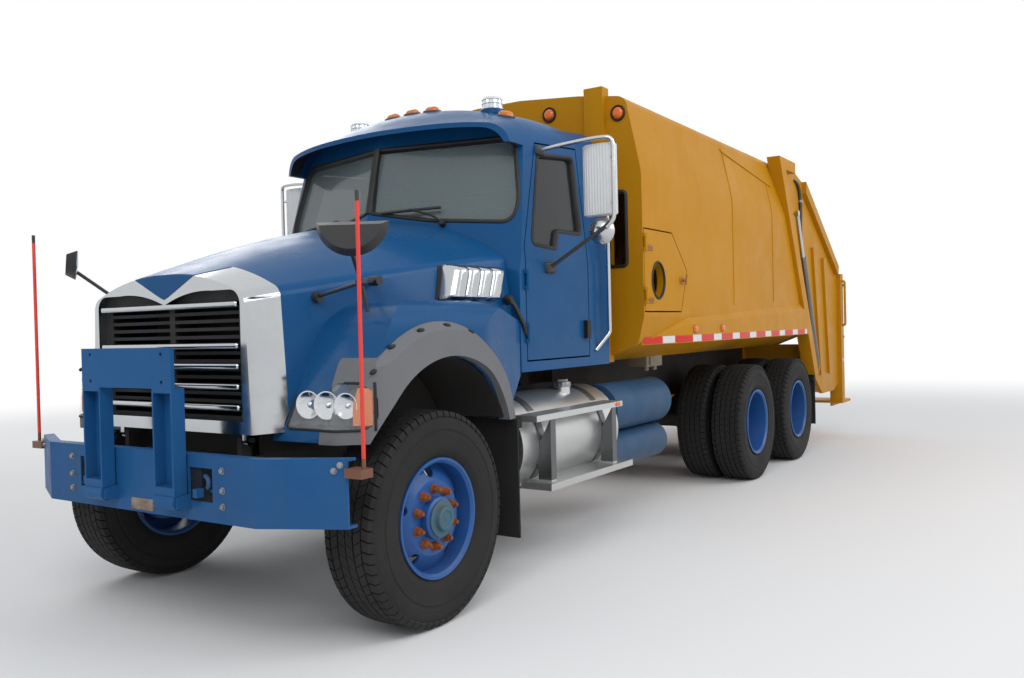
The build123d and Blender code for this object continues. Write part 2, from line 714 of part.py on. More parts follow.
with BuildPart() as grille:
    grille_face(hood_front_y - grille_face_y, Mode.ADD)
    slat_pitch = (grille_top_z - grille_notch_depth - grille_bottom_z - 20) / slat_count
    for number in range(slat_count):
        slot_z = grille_bottom_z + 20 + slat_pitch * number
        block((20, slat_half_width), (grille_face_y - 5, hood_front_y + 5), (slot_z, slot_z + slat_slot_height),
              Mode.SUBTRACT)
    mirror(about=Plane.YZ)
grille.part.label = "grille"
export_step(grille.part, "parts/grille.step")

# Louvred vents on the hood's sides
vent_y = (front_axle_y + 430, front_axle_y + 900)
vent_z = (1640, 1815)
vent_fins = 4
with BuildPart() as vents:
    fin_pitch = (vent_y[1] - vent_y[0]) / vent_fins
    for number in range(vent_fins):
        fin_y = vent_y[0] + fin_pitch * number
        fin = [
            (840, fin_y),
            (985, fin_y + 8),
            (985, fin_y + 40),
            (960, fin_y + fin_pitch - 25),
            (840, fin_y + fin_pitch - 25),
        ]
        plate(Plane.XY.offset(vent_z[0]), fin, vent_z[1] - vent_z[0])
    add(nose_outer.part, mode=Mode.SUBTRACT)
    mirror(about=Plane.YZ)
vents.part.label = "hood_vents"
export_step(vents.part, "parts/hood_vents.step")

# Half-moon mirrors: each bowl stands on an arm, a leg to the fender and a bar between two pads on the hood
moon_centre = (1085, front_axle_y - 492, 1965)
moon_radii = (166, 158)
moon_depth = 55
moon_joint = (980, front_axle_y - 330, 1700)
moon_foot = (990, front_axle_y - 300, 1560)
moon_pads = ((675, front_axle_y - 338, 1640), (800, front_axle_y - 40, 1725))
with BuildPart() as cowl_mirrors:
    with BuildSketch(Plane(origin=moon_centre, x_dir=(1, 0.6, 0), z_dir=(0.6, -1, 0.1))) as bowl:
        Ellipse(moon_radii[0], moon_radii[1])
        with Locations((0, moon_radii[1] / 2)):
            Rectangle(2.2 * moon_radii[0], moon_radii[1], mode=Mode.SUBTRACT)
    extrude(bowl.sketch, amount=moon_depth, taper=24)
    rod((moon_centre[0], moon_centre[1] - 25, moon_centre[2] - 100), moon_joint, 10)
    rod(moon_joint, moon_foot, 9)
    for pad in moon_pads:
        rod(moon_joint, pad, 9)
        rod((pad[0] - 20, pad[1], pad[2]), (pad[0] + 40, pad[1], pad[2]), 26)
    rod((moon_joint[0], moon_joint[1] - 25, moon_joint[2]), (moon_joint[0], moon_joint[1] + 25, moon_joint[2]), 16)
    add(nose_outer.part, mode=Mode.SUBTRACT)
    add(fender_outer.part, mode=Mode.SUBTRACT)
    mirror(about=Plane.YZ)
cowl_mirrors.part.label = "cowl_mirrors"
export_step(cowl_mirrors.part, "parts/cowl_mirrors.step")

# Cab shell as one skin, from which the doors are cut
roof_stations = (  # y from the front axle, how far the roof's edge and crown lie below their highest
    (640, 170, 320),
    (860, 145, 240),
    (1060, 108, 135),
    (1500, 45, 24),
    (2200, 0, 0),
)
cab_plan = [
    (0, cab_nose_y),
    (cab_half_width, cab_corner_y),
    (cab_half_width + 50, cab_corner_y),
    (cab_half_width + 50, cab_back_y),
    (0, cab_back_y),
]
glass_normal = Vector(sin(radians(glass_yaw)) * cos(radians(glass_rake)),
                      -cos(radians(glass_yaw)) * cos(radians(glass_rake)), sin(radians(glass_rake)))


def glass_plane(inset):
    """The flat of the left windshield pane, moved into the cab by the inset."""
    foot = Vector(0, glass_foot_y, glass_foot_z) - glass_normal * inset
    along = (cos(radians(glass_yaw)), sin(radians(glass_yaw)), 0)
    return Plane(origin=foot, x_dir=along, z_dir=glass_normal)


def cab_loft(inset):
    """Half the cab lofted through its cross-sections: upright to the belt, leaning above it, a round corner at the
    roof's edge and one long arc over the crown, drawn in by the inset."""
    wall_x = cab_half_width - inset
    lean = (Vector(-roof_lean, roof_edge_z - belt_z)).normalized()
    sections = []
    for offset_y, edge_drop, crown_drop in roof_stations:
        crown_z = roof_crown_z - crown_drop - inset
        sag = roof_sag - crown_drop + edge_drop
        radius = (cab_half_width**2 + sag**2) / (2 * sag)
        end_x = cab_half_width - roof_lean - roof_corner - inset
        fall = sqrt(radius**2 - end_x**2)
        end_z = crown_z - radius + fall
        slope = -end_x / fall
        climb = (end_z + slope * (wall_x - end_x) - belt_z) / (lean.Y - lean.X * slope)
        run = (wall_x + climb * lean.X - end_x) * sqrt(1 + slope**2)
        start = (wall_x + (climb - run) * lean.X, belt_z + (climb - run) * lean.Y)
        half_x = end_x / 2
        half_z = crown_z - radius + sqrt(radius**2 - half_x**2)
        with BuildSketch(cross_plane(front_axle_y + offset_y)) as section:
            with BuildLine():
                Polyline((0, crown_z), (0, cab_floor_z + inset), (wall_x, cab_floor_z + inset), (wall_x, belt_z), start)
                TangentArc(start, (end_x, end_z), tangent=(lean.X, lean.Y))
                ThreePointArc((end_x, end_z), (half_x, half_z), (0, crown_z))
            make_face()
        sections.append(section.sketch)
    loft(sections)


def cab_solid(inset):
    """Half the cab, its loft cut to the plan and to the windshield's flat, drawn in by the inset."""
    plan = [(x - 200 if x == 0 else x, y - 200 * rear_edge_slope if y == cab_nose_y else y) for x, y in cab_plan]
    cab_loft(inset)
    plate(Plane.XY.offset(cab_floor_z - 500), plan, 3000, Mode.INTERSECT, inset=inset)
    split(bisect_by=glass_plane(inset), keep=Keep.BOTTOM)


glass_height = roof_crown_z - glass_foot_z - 341
glass_corners = [  # along the pane, up the pane, corner radius
    (24, -20, 0),
    (24, glass_height, 0),
    (cab_half_width - 72, glass_height + 12, 90),
    (cab_half_width - 22, 0, 300),
    (cab_half_width - 60, -132, 80),
    (420, -90, 0),
]
side_window = [
    (front_axle_y + 1171, 1985),
    (front_axle_y + 1447, 1970),
    (front_axle_y + 1496, 2086),
    (front_axle_y + 1800, 2090),
    (front_axle_y + 1800, door_top_z - 70),
    (front_axle_y + 1350, door_top_z - 113),
]
door_outline = [
    (door_front_y, door_bottom_z),
    (door_back_y, door_bottom_z),
    (door_back_y, door_top_z),
    (front_axle_y + 1330, door_top_z - 40),
    (door_front_y, belt_z + 60),
]
door_hinge_x = cab_half_width + hinge_eye_radius + 1
door_hinge_y = door_front_y - panel_gap / 2
door_hinge_lean = hinge_eye_radius + 11
rear_window_x = 480
rear_window_z = (2080, 2480)
with BuildPart() as cab_core:
    cab_solid(cab_wall)
with BuildPart() as cab_skin:
    cab_solid(0)
    add(cab_core.part, mode=Mode.SUBTRACT)
with BuildPart() as glass_core:
    cab_solid(glass_inset + glass_thickness)
with BuildPart() as glass_skin:
    cab_solid(glass_inset)
    add(glass_core.part, mode=Mode.SUBTRACT)


with BuildPart() as cab_windows:
    rounded_plate(glass_plane(-100), glass_corners, -200)
    block((0, rear_window_x), (cab_back_y - 100, cab_back_y + 50), rear_window_z)
with BuildPart() as visor_core:
    cab_loft(visor_thickness)
with BuildPart() as visor:
    cab_loft(0)
    add(visor_core.part, mode=Mode.SUBTRACT)
    with BuildSketch(Plane.XY.offset(roof_edge_z - 190)) as brow:
        with BuildLine():
            ThreePointArc((0, visor_front_y), (0.56 * cab_half_width, visor_front_y + 55),
                          (cab_half_width, visor_front_y + 225))
            Polyline((cab_half_width, visor_front_y + 225), (cab_half_width, visor_front_y + 450),
                     (0, visor_front_y + 450), (0, visor_front_y))
        make_face()
    extrude(brow.sketch, amount=600, mode=Mode.INTERSECT)
    add(cab_core.part, mode=Mode.SUBTRACT)

with BuildPart() as cab_shell:
    add(cab_skin.part)
    add(cab_windows.part, mode=Mode.SUBTRACT)
    plate(side_plane(500), door_outline, 1000, Mode.SUBTRACT, inset=-panel_gap)
    add(visor.part)
    for z in door_hinge_zs:
        hinge_lugs(door_hinge_x, door_hinge_y, z, hinge_height, door_hinge_lean)
    mirror(about=Plane.YZ)
cab_shell.part.label = "cab_shell"
export_step(cab_shell.part, "parts/cab_shell.step")

with BuildPart() as cab_glass:
    add(glass_skin.part)
    add(cab_windows.part, mode=Mode.INTERSECT)
    mirror(about=Plane.YZ)
cab_glass.part.label = "cab_glass"
export_step(cab_glass.part, "parts/cab_glass.step")

# Doors with their panes and mirrors, left as drawn and right mirrored
with BuildPart() as door:
    add(cab_skin.part)
    plate(side_plane(500), door_outline, 1000, Mode.INTERSECT)
    plate(side_plane(500), side_window, 1000, Mode.SUBTRACT)
    block((cab_half_width, cab_half_width + 30), (front_axle_y + 1780, front_axle_y + 1830), (1385, 1505))
    for z in door_hinge_zs:
        hinge_knuckle(door_hinge_x, door_hinge_y, z, hinge_height, door_hinge_lean)
with BuildPart() as door_glass:
    add(glass_skin.part)
    plate(side_plane(500), side_window, 1000, Mode.INTERSECT)
with BuildPart() as mirror_arm:
    loop = [
        (cab_half_width - 95, front_axle_y + 1360, door_top_z - 85),
        (cab_half_width + 310, front_axle_y + 1400, door_top_z - 40),
        (cab_half_width + 420, front_axle_y + 1430, door_top_z - 100),
        (cab_half_width + 420, front_axle_y + 1430, belt_z + 230),
        (cab_half_width - 10, front_axle_y + 1340, belt_z - 50),
    ]
    bent_tube(loop, 13, 50)
    block((cab_half_width + 195, cab_half_width + 412), (front_axle_y + 1438, front_axle_y + 1520),
          (belt_z + 260, door_top_z - 70))
    rod((cab_half_width + 305, front_axle_y + 1405, belt_z + 165),
        (cab_half_width + 305, front_axle_y + 1480, belt_z + 165), 85)
    add(cab_skin.part, mode=Mode.SUBTRACT)
for piece, name in ((door, "door"), (door_glass, "door_glass"), (mirror_arm, "door_mirror")):
    with BuildPart() as opposite:
        mirror(piece.part, about=Plane.YZ)
    for side, solid in (("left", piece), ("right", opposite)):
        solid.part.label = name + "_" + side
        export_step(solid.part, "parts/" + name + "_" + side + ".step")

# Inside the cab: dashboard, steering wheel and seat boxes
seat_x = 480
seat_half_width = 240
seat_box_top_z = 1560
floor_top_z = cab_floor_z + cab_wall
wheel_hub = (seat_x, front_axle_y + 1330, 1990)
with BuildPart() as cab_fittings:
    dash = [
        (front_axle_y + 1115, 1700),
        (front_axle_y + 1240, 1700),
        (front_axle_y + 1290, 1900),
        (front_axle_y + 1200, 2020),
        (front_axle_y + 1115, 2040),
    ]
    dash_end_x = cab_half_width - 108
    plate(side_plane(-dash_end_x), dash, 2 * dash_end_x)
    block((-120, 120), (front_axle_y + 1115, front_axle_y + 1240), (floor_top_z, 1700))
    rod((seat_x, front_axle_y + 1200, 1880), wheel_hub, 35)
    with BuildSketch(Plane(origin=wheel_hub, z_dir=(0, 0.6, 0.8))) as rim:
        Circle(220)
        Circle(195, mode=Mode.SUBTRACT)
        Rectangle(400, 40)
    extrude(rim.sketch, amount=22)
    for x in (-seat_x, seat_x):
        block((x - 200, x + 200), (front_axle_y + 1560, front_axle_y + 1960), (floor_top_z, seat_box_top_z))
cab_fittings.part.label = "cab_fittings"
export_step(cab_fittings.part, "parts/cab_fittings.step")

with BuildPart() as seats:
    for x in (-seat_x, seat_x):
        block((x - seat_half_width, x + seat_half_width), (front_axle_y + 1500, front_axle_y + 1960),
              (seat_box_top_z, seat_box_top_z + 120))
        back = [
            (front_axle_y + 1880, seat_box_top_z + 120),
            (front_axle_y + 1990, seat_box_top_z + 120),
            (front_axle_y + 2060, seat_box_top_z + 800),
            (front_axle_y + 1980, seat_box_top_z + 800),
        ]
        plate(side_plane(x - seat_half_width), back, 2 * seat_half_width)
seats.part.label = "seats"
export_step(seats.part, "parts/seats.step")

# Lamps of the cab roof: two beacons and five clearance lamps
with BuildPart() as cab_whole:
    cab_solid(0)
    mirror(about=Plane.YZ)
with BuildPart() as roof_lamps:
    for x in (-583, 583):
        rod((x, front_axle_y + 1400, roof_edge_z), (x, front_axle_y + 1400, roof_crown_z - 8), 70)
    for x, drop in ((-760, 155), (-170, 36), (0, 30), (170, 36), (760, 155)):
        rod((x, front_axle_y + 1290, roof_edge_z - 150), (x, front_axle_y + 1290, roof_crown_z - drop), 42)
    add(cab_whole.part, mode=Mode.SUBTRACT)
    add(cab_shell.part, mode=Mode.SUBTRACT)
roof_lamps.part.label = "roof_lamps"
export_step(roof_lamps.part, "parts/roof_lamps.step")

# Grab bars on the cab's rear corners
with BuildPart() as grab_bars:
    bar_x = cab_half_width + 60
    bar_y = front_axle_y + 2045
    bar_points = [
        (cab_half_width - 40, bar_y, 2480),
        (bar_x, bar_y, 2480),
        (bar_x, bar_y, 1420),
        (cab_half_width, bar_y - 100, 1300),
    ]
    bent_tube(bar_points, 14, 40)
    add(cab_whole.part, mode=Mode.SUBTRACT)
    mirror(about=Plane.YZ)
grab_bars.part.label = "grab_bars"
export_step(grab_bars.part, "parts/grab_bars.step")

# Fuel tank, its bands, and the two steps hung on them
tank_radius = 300
tank_x = 800
tank_z = 760
tank_y = (front_axle_y + 870, front_axle_y + 2100)
band_ys = (front_axle_y + 1050, front_axle_y + 1850)
band_width = 60
band_thickness = 8
with BuildPart() as fuel_tank:
    rod((tank_x, tank_y[0], tank_z), (tank_x, tank_y[1], tank_z), tank_radius)
    for band_y in band_ys:
        rod((tank_x, band_y, tank_z), (tank_x, band_y + band_width, tank_z), tank_radius + band_thickness)
        hanger = [
            (1090, tank_z),
            (1180, 925),
            (1180, 550),
            (1090, 550),
        ]
        plate(cross_plane(band_y + band_width), hanger, band_width)
        block((rail_outer_x, 560), (band_y, band_y + band_width), (rail_z[0] - 60, rail_z[0] + 120))
    block((1060, 1210), (front_axle_y + 850, front_axle_y + 1950), (925, 960))
    block((1010, 1220), (front_axle_y + 980, front_axle_y + 2070), (510, 550))
    rod((tank_x + 100, front_axle_y + 1687, 1000), (tank_x + 100, front_axle_y + 1687, 1080), 50)
fuel_tank.part.label = "fuel_tank"
export_step(fuel_tank.part, "parts/fuel_tank.step")

# Box with steps on the far side, in the tank's place
with BuildPart() as step_box:
    box_outline = [
        (-520, 480),
        (-1080, 480),
        (-1080, 760),
        (-1000, 780),
        (-1000, 1030),
        (-520, 1030),
    ]
    plate(cross_plane(tank_y[1]), box_outline, tank_y[1] - tank_y[0])
    for step_x, step_z in ((-1150, 760), (-1200, 510)):
        block((step_x, -1000), (front_axle_y + 980, front_axle_y + 1950), (step_z - 30, step_z))
    for band_y in band_ys:
        block((-520, -rail_outer_x), (band_y, band_y + band_width), (rail_z[0] - 60, rail_z[0] + 120))
step_box.part.label = "step_box"
export_step(step_box.part, "parts/step_box.step")

# Two stacked blue tanks behind the cab on brackets from the rail
blue_tanks_table = ((870, 178), (555, 136))  # height of the axis, radius
with BuildPart() as blue_tanks:
    for axis_z, radius in blue_tanks_table:
        rod((880, front_axle_y + 2180, axis_z), (880, front_axle_y + 3130, axis_z), radius)
        rod((880, front_axle_y + 3130, axis_z), (880, front_axle_y + 3190, axis_z), radius * 0.8)
    for band_y in (front_axle_y + 2320, front_axle_y + 2960):
        block((rail_outer_x, 740), (band_y, band_y + 60), (rail_z[0] + 20, rail_z[0] + 160))
        block((700, 760), (band_y, band_y + 60), (500, rail_z[0] + 160))
blue_tanks.part.label = "blue_tanks"
export_step(blue_tanks.part, "parts/blue_tanks.step")

# Rubber flaps behind the front and rear wheels, on hangers from the frame
front_flap_y = front_axle_y + 735
rear_flap_y = drive_axle_y + 2070
with BuildPart() as flaps:
    block((850, 1150), (front_flap_y, front_flap_y + 12), (280, 950))
    block((rail_outer_x, 1150), (front_flap_y + 12, front_flap_y + 50), (900, 950))
    block((620, body_half_width + 10), (rear_flap_y, rear_flap_y + 12), (300, 800))
    block((rail_inner_x, body_half_width + 10), (rear_flap_y - 40, rear_flap_y), (790, body_low_z))
    mirror(about=Plane.YZ)
flaps.part.label = "mud_flaps"
export_step(flaps.part, "parts/mud_flaps.step")

# Body: a crowned and bowed shell, its slanted rear frame, side skirts and front posts
body_cross = [  # x, z, corner radius
    (0, body_floor_z, 0),
    (body_half_width - 400, body_floor_z, 60),
    (body_half_width - 50, body_floor_z + 130, 80),
    (body_half_width, body_floor_z + 330, 150),
    (body_half_width, body_crown_z - 648, 700),
    (body_half_width - 115, body_crown_z - 103, 90),
    (body_half_width - 500, body_crown_z - 45, 500),
    (body_half_width - 1000, body_crown_z, 500),
    (0, body_crown_z, 0),
]


def body_prism(inset):
    """Half the body's section carried along its length, drawn in by the inset."""
    cross = [(x - 200 if x == 0 else x, z, radius) for x, z, radius in body_cross]
    length = seam_at(body_low_z) + 200 - body_front_y - 2 * inset
    rounded_plate(cross_plane(body_front_y + inset + length), cross, length, inset=inset)
    block((0, 2000), (body_front_y - 10, body_front_y + 6000), (0, 4000), Mode.INTERSECT)


def behind_seam(offset, mode, x_span=(-10, 1500)):
    """Everything behind the slanted joint, moved back by the offset."""
    outline = [
        (seam_at(4000, offset), 4000),
        (seam_at(0, offset), 0),
        (seam_at(0) + 4000, 0),
        (seam_at(0) + 4000, 4000),
    ]
    plate(side_plane(x_span[0]), outline, x_span[1] - x_span[0], mode)


access_door = [
    (body_front_y + 25, 1565),
    (body_front_y + 680, 1565),
    (body_front_y + 800, 1880),
    (body_front_y + 520, 2150),
    (body_front_y + 25, 2150),
]
oval_centre = (body_front_y + 260, 1790)
oval_radii = (110, 130)
access_hinge_x = body_half_width + hinge_eye_radius + 1
access_hinge_y = access_door[0][0] - panel_gap / 2
post_z = (1050, 3120)
with BuildPart() as body_core:
    body_prism(body_wall)
    block((0, 2000), (body_front_y, body_front_y + 9000), (0, 4000), Mode.INTERSECT)
with BuildPart() as body_shell:
    body_prism(0)
    post = [
        (seam_at(body_low_z, -recess_depth - post_depth), body_low_z),
        (seam_at(body_low_z, 0), body_low_z),
        (seam_at(3130, 0), 3130),
        (seam_at(3130, -recess_depth - post_depth), 3130),
    ]
    plate(side_plane(recess_inner_x), post, post_outer_x - recess_inner_x)
    skirt_sections = (
        (body_front_y + 60, body_half_width - 52, 1345, 1350),
        (body_front_y + 797, skirt_outer_x, 1467, 1529),
        (seam_at(1450, -recess_depth - 60), skirt_outer_x, 1590, 1690),
    )
    skirt_faces = []
    for y, outer_x, outer_z, inner_z in skirt_sections:
        with BuildSketch(cross_plane(y)) as section:
            with BuildLine():
                Polyline((body_half_width - 100, skirt_bottom_z), (outer_x, skirt_bottom_z), (outer_x, outer_z),
                         (min(outer_x, body_half_width) - 20, inner_z), (body_half_width - 100, inner_z), close=True)
            make_face()
        skirt_faces.append(section.sketch)
    loft(skirt_faces, ruled=True)
    block((780, 930), (body_front_y - 50, body_front_y + 50), (body_floor_z, body_crown_z - 18))
    add(body_core.part, mode=Mode.SUBTRACT)
    recess = [
        (seam_at(body_low_z - 20, -recess_depth), body_low_z - 20),
        (seam_at(body_low_z - 20, 100), body_low_z - 20),
        (seam_at(3200, 100), 3200),
        (seam_at(3200, -recess_depth), 3200),
    ]
    plate(side_plane(recess_outer_x), recess, 300, Mode.SUBTRACT)
    behind_seam(0, Mode.SUBTRACT)
    apron = [
        (seam_at(body_floor_z, -140), body_floor_z),
        (seam_at(body_floor_z, 0), body_floor_z),
        (seam_at(body_low_z, 0), body_low_z),
        (seam_at(body_low_z, -40), body_low_z),
    ]
    plate(side_plane(0), apron, recess_outer_x)
    block((rail_inner_x, rail_outer_x), (frame_back_y, seam_at(body_floor_z, -20)), (body_low_z, body_floor_z))
    ear = [
        (tailgate_hinge_y - 330, tailgate_hinge_z - 60),
        (tailgate_hinge_y + 60, tailgate_hinge_z - 60),
        (tailgate_hinge_y + 60, tailgate_hinge_z + 50),
        (tailgate_hinge_y - 330, tailgate_hinge_z + 50),
    ]
    plate(side_plane(recess_outer_x + 5), ear, post_outer_x - recess_outer_x - 5)
    rod((recess_inner_x - 30, tailgate_hinge_y, tailgate_hinge_z), (recess_outer_x + 5, tailgate_hinge_y, tailgate_hinge_z),
        tailgate_pin_radius)
    block((recess_outer_x, lift_x - 40), (lift_base_y - 60, lift_base_y + 20), (body_low_z, lift_base_z + 40))
    rod((lift_x - 40, lift_base_y, lift_base_z), (lift_x + 30, lift_base_y, lift_base_z), lift_pin_radius)
    mirror(about=Plane.YZ)
    plate(side_plane(1000), access_door, 400, Mode.SUBTRACT, inset=-panel_gap)
    for sign in (-1, 1):
        slot_x = sorted((sign * (body_half_width - 255), sign * (body_half_width - 135)))
        block(slot_x, (body_front_y - 10, body_front_y + body_wall + 10), (1900, 2420), Mode.SUBTRACT)
    for z in access_hinge_zs:
        hinge_lugs(access_hinge_x, access_hinge_y, z, hinge_height, hinge_eye_radius + 6)
body_shell.part.label = "body_shell"
export_step(body_shell.part, "parts/body_shell.step")

# Side access door in the body's wall, with an oval opening
with BuildPart() as hatch:
    block((body_half_width - body_wall, body_half_width), (body_front_y, body_front_y + 1000), (1400, 2300))
    plate(side_plane(1000), access_door, 400, Mode.INTERSECT)
    with BuildSketch(side_plane(1000)) as oval:
        with Locations(oval_centre):
            Ellipse(oval_radii[0], oval_radii[1])
    extrude(oval.sketch, amount=400, mode=Mode.SUBTRACT)
    for z in access_hinge_zs:
        hinge_knuckle(access_hinge_x, access_hinge_y, z, hinge_height, hinge_eye_radius + 6)
hatch.part.label = "access_door"
export_step(hatch.part, "parts/access_door.step")

# Ejector panel across the load space, on two floor shoes
ejector_y = body_front_y + 900
load_floor_z = body_floor_z + body_wall
with BuildPart() as ejector:
    ejector_outline = [
        (0, load_floor_z + 20),
        (body_half_width - 440, load_floor_z + 20),
        (body_half_width - 140, load_floor_z + 140),
        (body_half_width - 100, load_floor_z + 340),
        (body_half_width - 100, body_crown_z - 808),
        (body_half_width - 120, body_crown_z - 508),
        (body_half_width - 190, body_crown_z - 218),
        (body_half_width - 460, body_crown_z - 148),
        (0, body_crown_z - 98),
    ]
    plate(cross_plane(ejector_y + 80), ejector_outline, 80)
    for x in (0, 600):
        brace = [
            (ejector_y, load_floor_z + running_gap),
            (ejector_y, 2200),
            (ejector_y - 500, load_floor_z + 200),
            (ejector_y - 500, load_floor_z + running_gap),
        ]
        plate(side_plane(x), brace, 60)
    mirror(about=Plane.YZ)
ejector.part.label = "ejector_panel"
export_step(ejector.part, "parts/ejector_panel.step")

# Round lamps on the body's front, side lamps on the skirts and the valve box below
with BuildPart() as body_lamps:
    for x, z in ((460, body_crown_z - 148), (body_half_width - 170, body_crown_z - 218)):
        rod((x, body_front_y - 30, z), (x, body_front_y, z), 55)
    for y in (body_front_y + 850, body_front_y + 1500):
        block((skirt_outer_x, skirt_outer_x + 12), (y - 30, y + 30), (1395, 1450))
    mirror(about=Plane.YZ)
    block((620, 800), (body_front_y + 900, body_front_y + 1210), (1100, body_floor_z))
body_lamps.part.label = "body_lamps"
export_step(body_lamps.part, "parts/body_lamps.step")

# Tailgate: side walls, sloped roof, curved trough, sill, rear channels and ribs
lowered_y = pivot_y + packer_travel * seam_slope / sqrt(1 + seam_slope**2)
lowered_z = pivot_z - packer_travel / sqrt(1 + seam_slope**2)
rear_y = drive_axle_y + 3540
sill_z = 1050
side_outline = [
    (seam_at(3022, seam_gap), 3022),
    (tailgate_hinge_y - 75, tailgate_hinge_z + 50),
    (tailgate_hinge_y, tailgate_hinge_z + 85),
    (drive_axle_y + 1920, 3010),
    (drive_axle_y + 3360, 2130),
    (rear_y, 2040),
    (rear_y, sill_z),
    (drive_axle_y + 3490, 700),
    (drive_axle_y + 3190, 600),
    (drive_axle_y + 2640, 600),
    (seam_at(790, seam_gap), 790),
]
roof_outline = side_outline[3:6] + [
    (rear_y, 2010),
    (drive_axle_y + 3350, 2100),
    (drive_axle_y + 1920, 2975),
    (seam_at(2990, seam_gap), 2985),
    (seam_at(3022, seam_gap), 3022),
    (tailgate_hinge_y, 3040),
]
with BuildPart() as tailgate:
    plate(side_plane(recess_inner_x), side_outline, tailgate_wall)
    rod((recess_inner_x - 40, tailgate_hinge_y, tailgate_hinge_z), (recess_outer_x + 20, tailgate_hinge_y, tailgate_hinge_z),
        tailgate_pin_radius + pin_gap, Mode.SUBTRACT)
    plate(side_plane(0), roof_outline, recess_inner_x)
    with BuildSketch(side_plane(0)) as trough:
        with Locations((lowered_y, lowered_z)):
            Circle(trough_radius + trough_plate)
            Circle(trough_radius, mode=Mode.SUBTRACT)
        with BuildLine():
            Polyline((seam_at(795, seam_gap), 0), (seam_at(795, seam_gap), 900), (rear_y - 50, 900),
                     (rear_y - 50, 0), close=True)
        make_face(mode=Mode.INTERSECT)
    extrude(trough.sketch, amount=recess_inner_x)
    lip = [
        (seam_at(790, seam_gap), 790),
        (seam_at(1190, seam_gap), 1190),
        (seam_at(1190, seam_gap + 20), 1190),
        (seam_at(760, seam_gap + 20), 760),
    ]
    plate(side_plane(0), lip, recess_inner_x)
    sill = [
        (rear_y - 60, 850),
        (rear_y, 860),
        (rear_y, sill_z),
        (rear_y - 30, sill_z),
        (rear_y - 60, 900),
    ]
    plate(side_plane(0), sill, recess_inner_x)
    block((recess_inner_x - 60, body_half_width), (rear_y - 130, rear_y), (530, 1000))
    block((recess_outer_x, body_half_width), (rear_y - 130, rear_y), (1000, 2040))
    top_rim = [
        (drive_axle_y + 1920, 3010),
        (drive_axle_y + 3360, 2130),
        (drive_axle_y + 3320, 2030),
        (drive_axle_y + 1920, 2880),
    ]
    plate(side_plane(recess_outer_x), top_rim, body_half_width - recess_outer_x)
    for foot_y, head_y, head_z in ((2490, 2240, 2300), (2890, 2690, 2200)):
        rib = [
            (drive_axle_y + foot_y, 830),
            (drive_axle_y + head_y, head_z),
            (drive_axle_y + head_y + 130, head_z),
            (drive_axle_y + foot_y + 130, 830),
        ]
        plate(side_plane(recess_outer_x), rib, 30)
    mirror(about=Plane.YZ)
tailgate.part.label = "tailgate"
export_step(tailgate.part, "parts/tailgate.step")

# Tail lamps in the rear channels
with BuildPart() as tail_lamps:
    for z in (1250, 1400, 1900):
        rod((body_half_width - 25, rear_y, z), (body_half_width - 25, rear_y + 25, z), 22)
    mirror(about=Plane.YZ)
tail_lamps.part.label = "tail_lamps"
export_step(tail_lamps.part, "parts/tail_lamps.step")

# Riding steps and grab rails at the tailgate's rear corners
step_y = (drive_axle_y + 3400, tail_end_y)
with BuildPart() as rear_steps:
    block((760, body_half_width), step_y, (420, 450))
    block((recess_inner_x - 60, body_half_width), (rear_y - 130, rear_y), (450, 530))
    block((recess_inner_x - 60, recess_inner_x - 40), (rear_y - 130, tail_end_y), (380, 420))
    rail_points = [
        (body_half_width, rear_y - 60, 1950),
        (body_half_width + 35, rear_y - 60, 1950),
        (body_half_width + 35, rear_y - 60, 1400),
        (body_half_width, rear_y - 60, 1400),
    ]
    bent_tube(rail_points, 14, 18)
    mirror(about=Plane.YZ)
rear_steps.part.label = "rear_steps"
export_step(rear_steps.part, "parts/rear_steps.step")

# Packer: a carriage that slides between the tailgate's walls and a sweep panel hinged to its foot
slide_run = sqrt(1 + seam_slope**2)
slide_y = seam_slope / slide_run
slide_z = -1 / slide_run
half_carriage = carriage_thickness / 2


def along_slide(distance, aside):
    """A (y, z) point measured up the slide from the sweep's pin and square to it."""
    return (pivot_y - distance * slide_y - aside * slide_z, pivot_z - distance * slide_z + aside * slide_y)


with BuildPart() as carriage:
    plate(side_plane(0), [along_slide(90, -half_carriage), along_slide(carriage_length, -half_carriage),
                          along_slide(carriage_length, half_carriage), along_slide(90, half_carriage)],
          recess_inner_x - 20)
    for x in (0, 420, recess_inner_x - 110):
        plate(side_plane(x), [along_slide(0, -50), along_slide(90, -half_carriage), along_slide(90, half_carriage),
                              along_slide(0, 50), along_slide(-45, 0)], 60)
    plate(side_plane(recess_inner_x - 20), [along_slide(150, -60), along_slide(carriage_length - 50, -60),
                                           along_slide(carriage_length - 50, 60), along_slide(150, 60)],
          20 - running_gap)
    rod((0, pivot_y, pivot_z), (recess_inner_x - 40, pivot_y, pivot_z), packer_pin_radius)
    mirror(about=Plane.YZ)
carriage.part.label = "packer_carriage"
export_step(carriage.part, "parts/packer_carriage.step")

rest_y = -sin(radians(sweep_rest_angle))
rest_z = -cos(radians(sweep_rest_angle))


def along_sweep(distance, aside):
    """A (y, z) point measured down the sweep panel from its pin and square to it."""
    return (pivot_y + distance * rest_y - aside * rest_z, pivot_z + distance * rest_z + aside * rest_y)


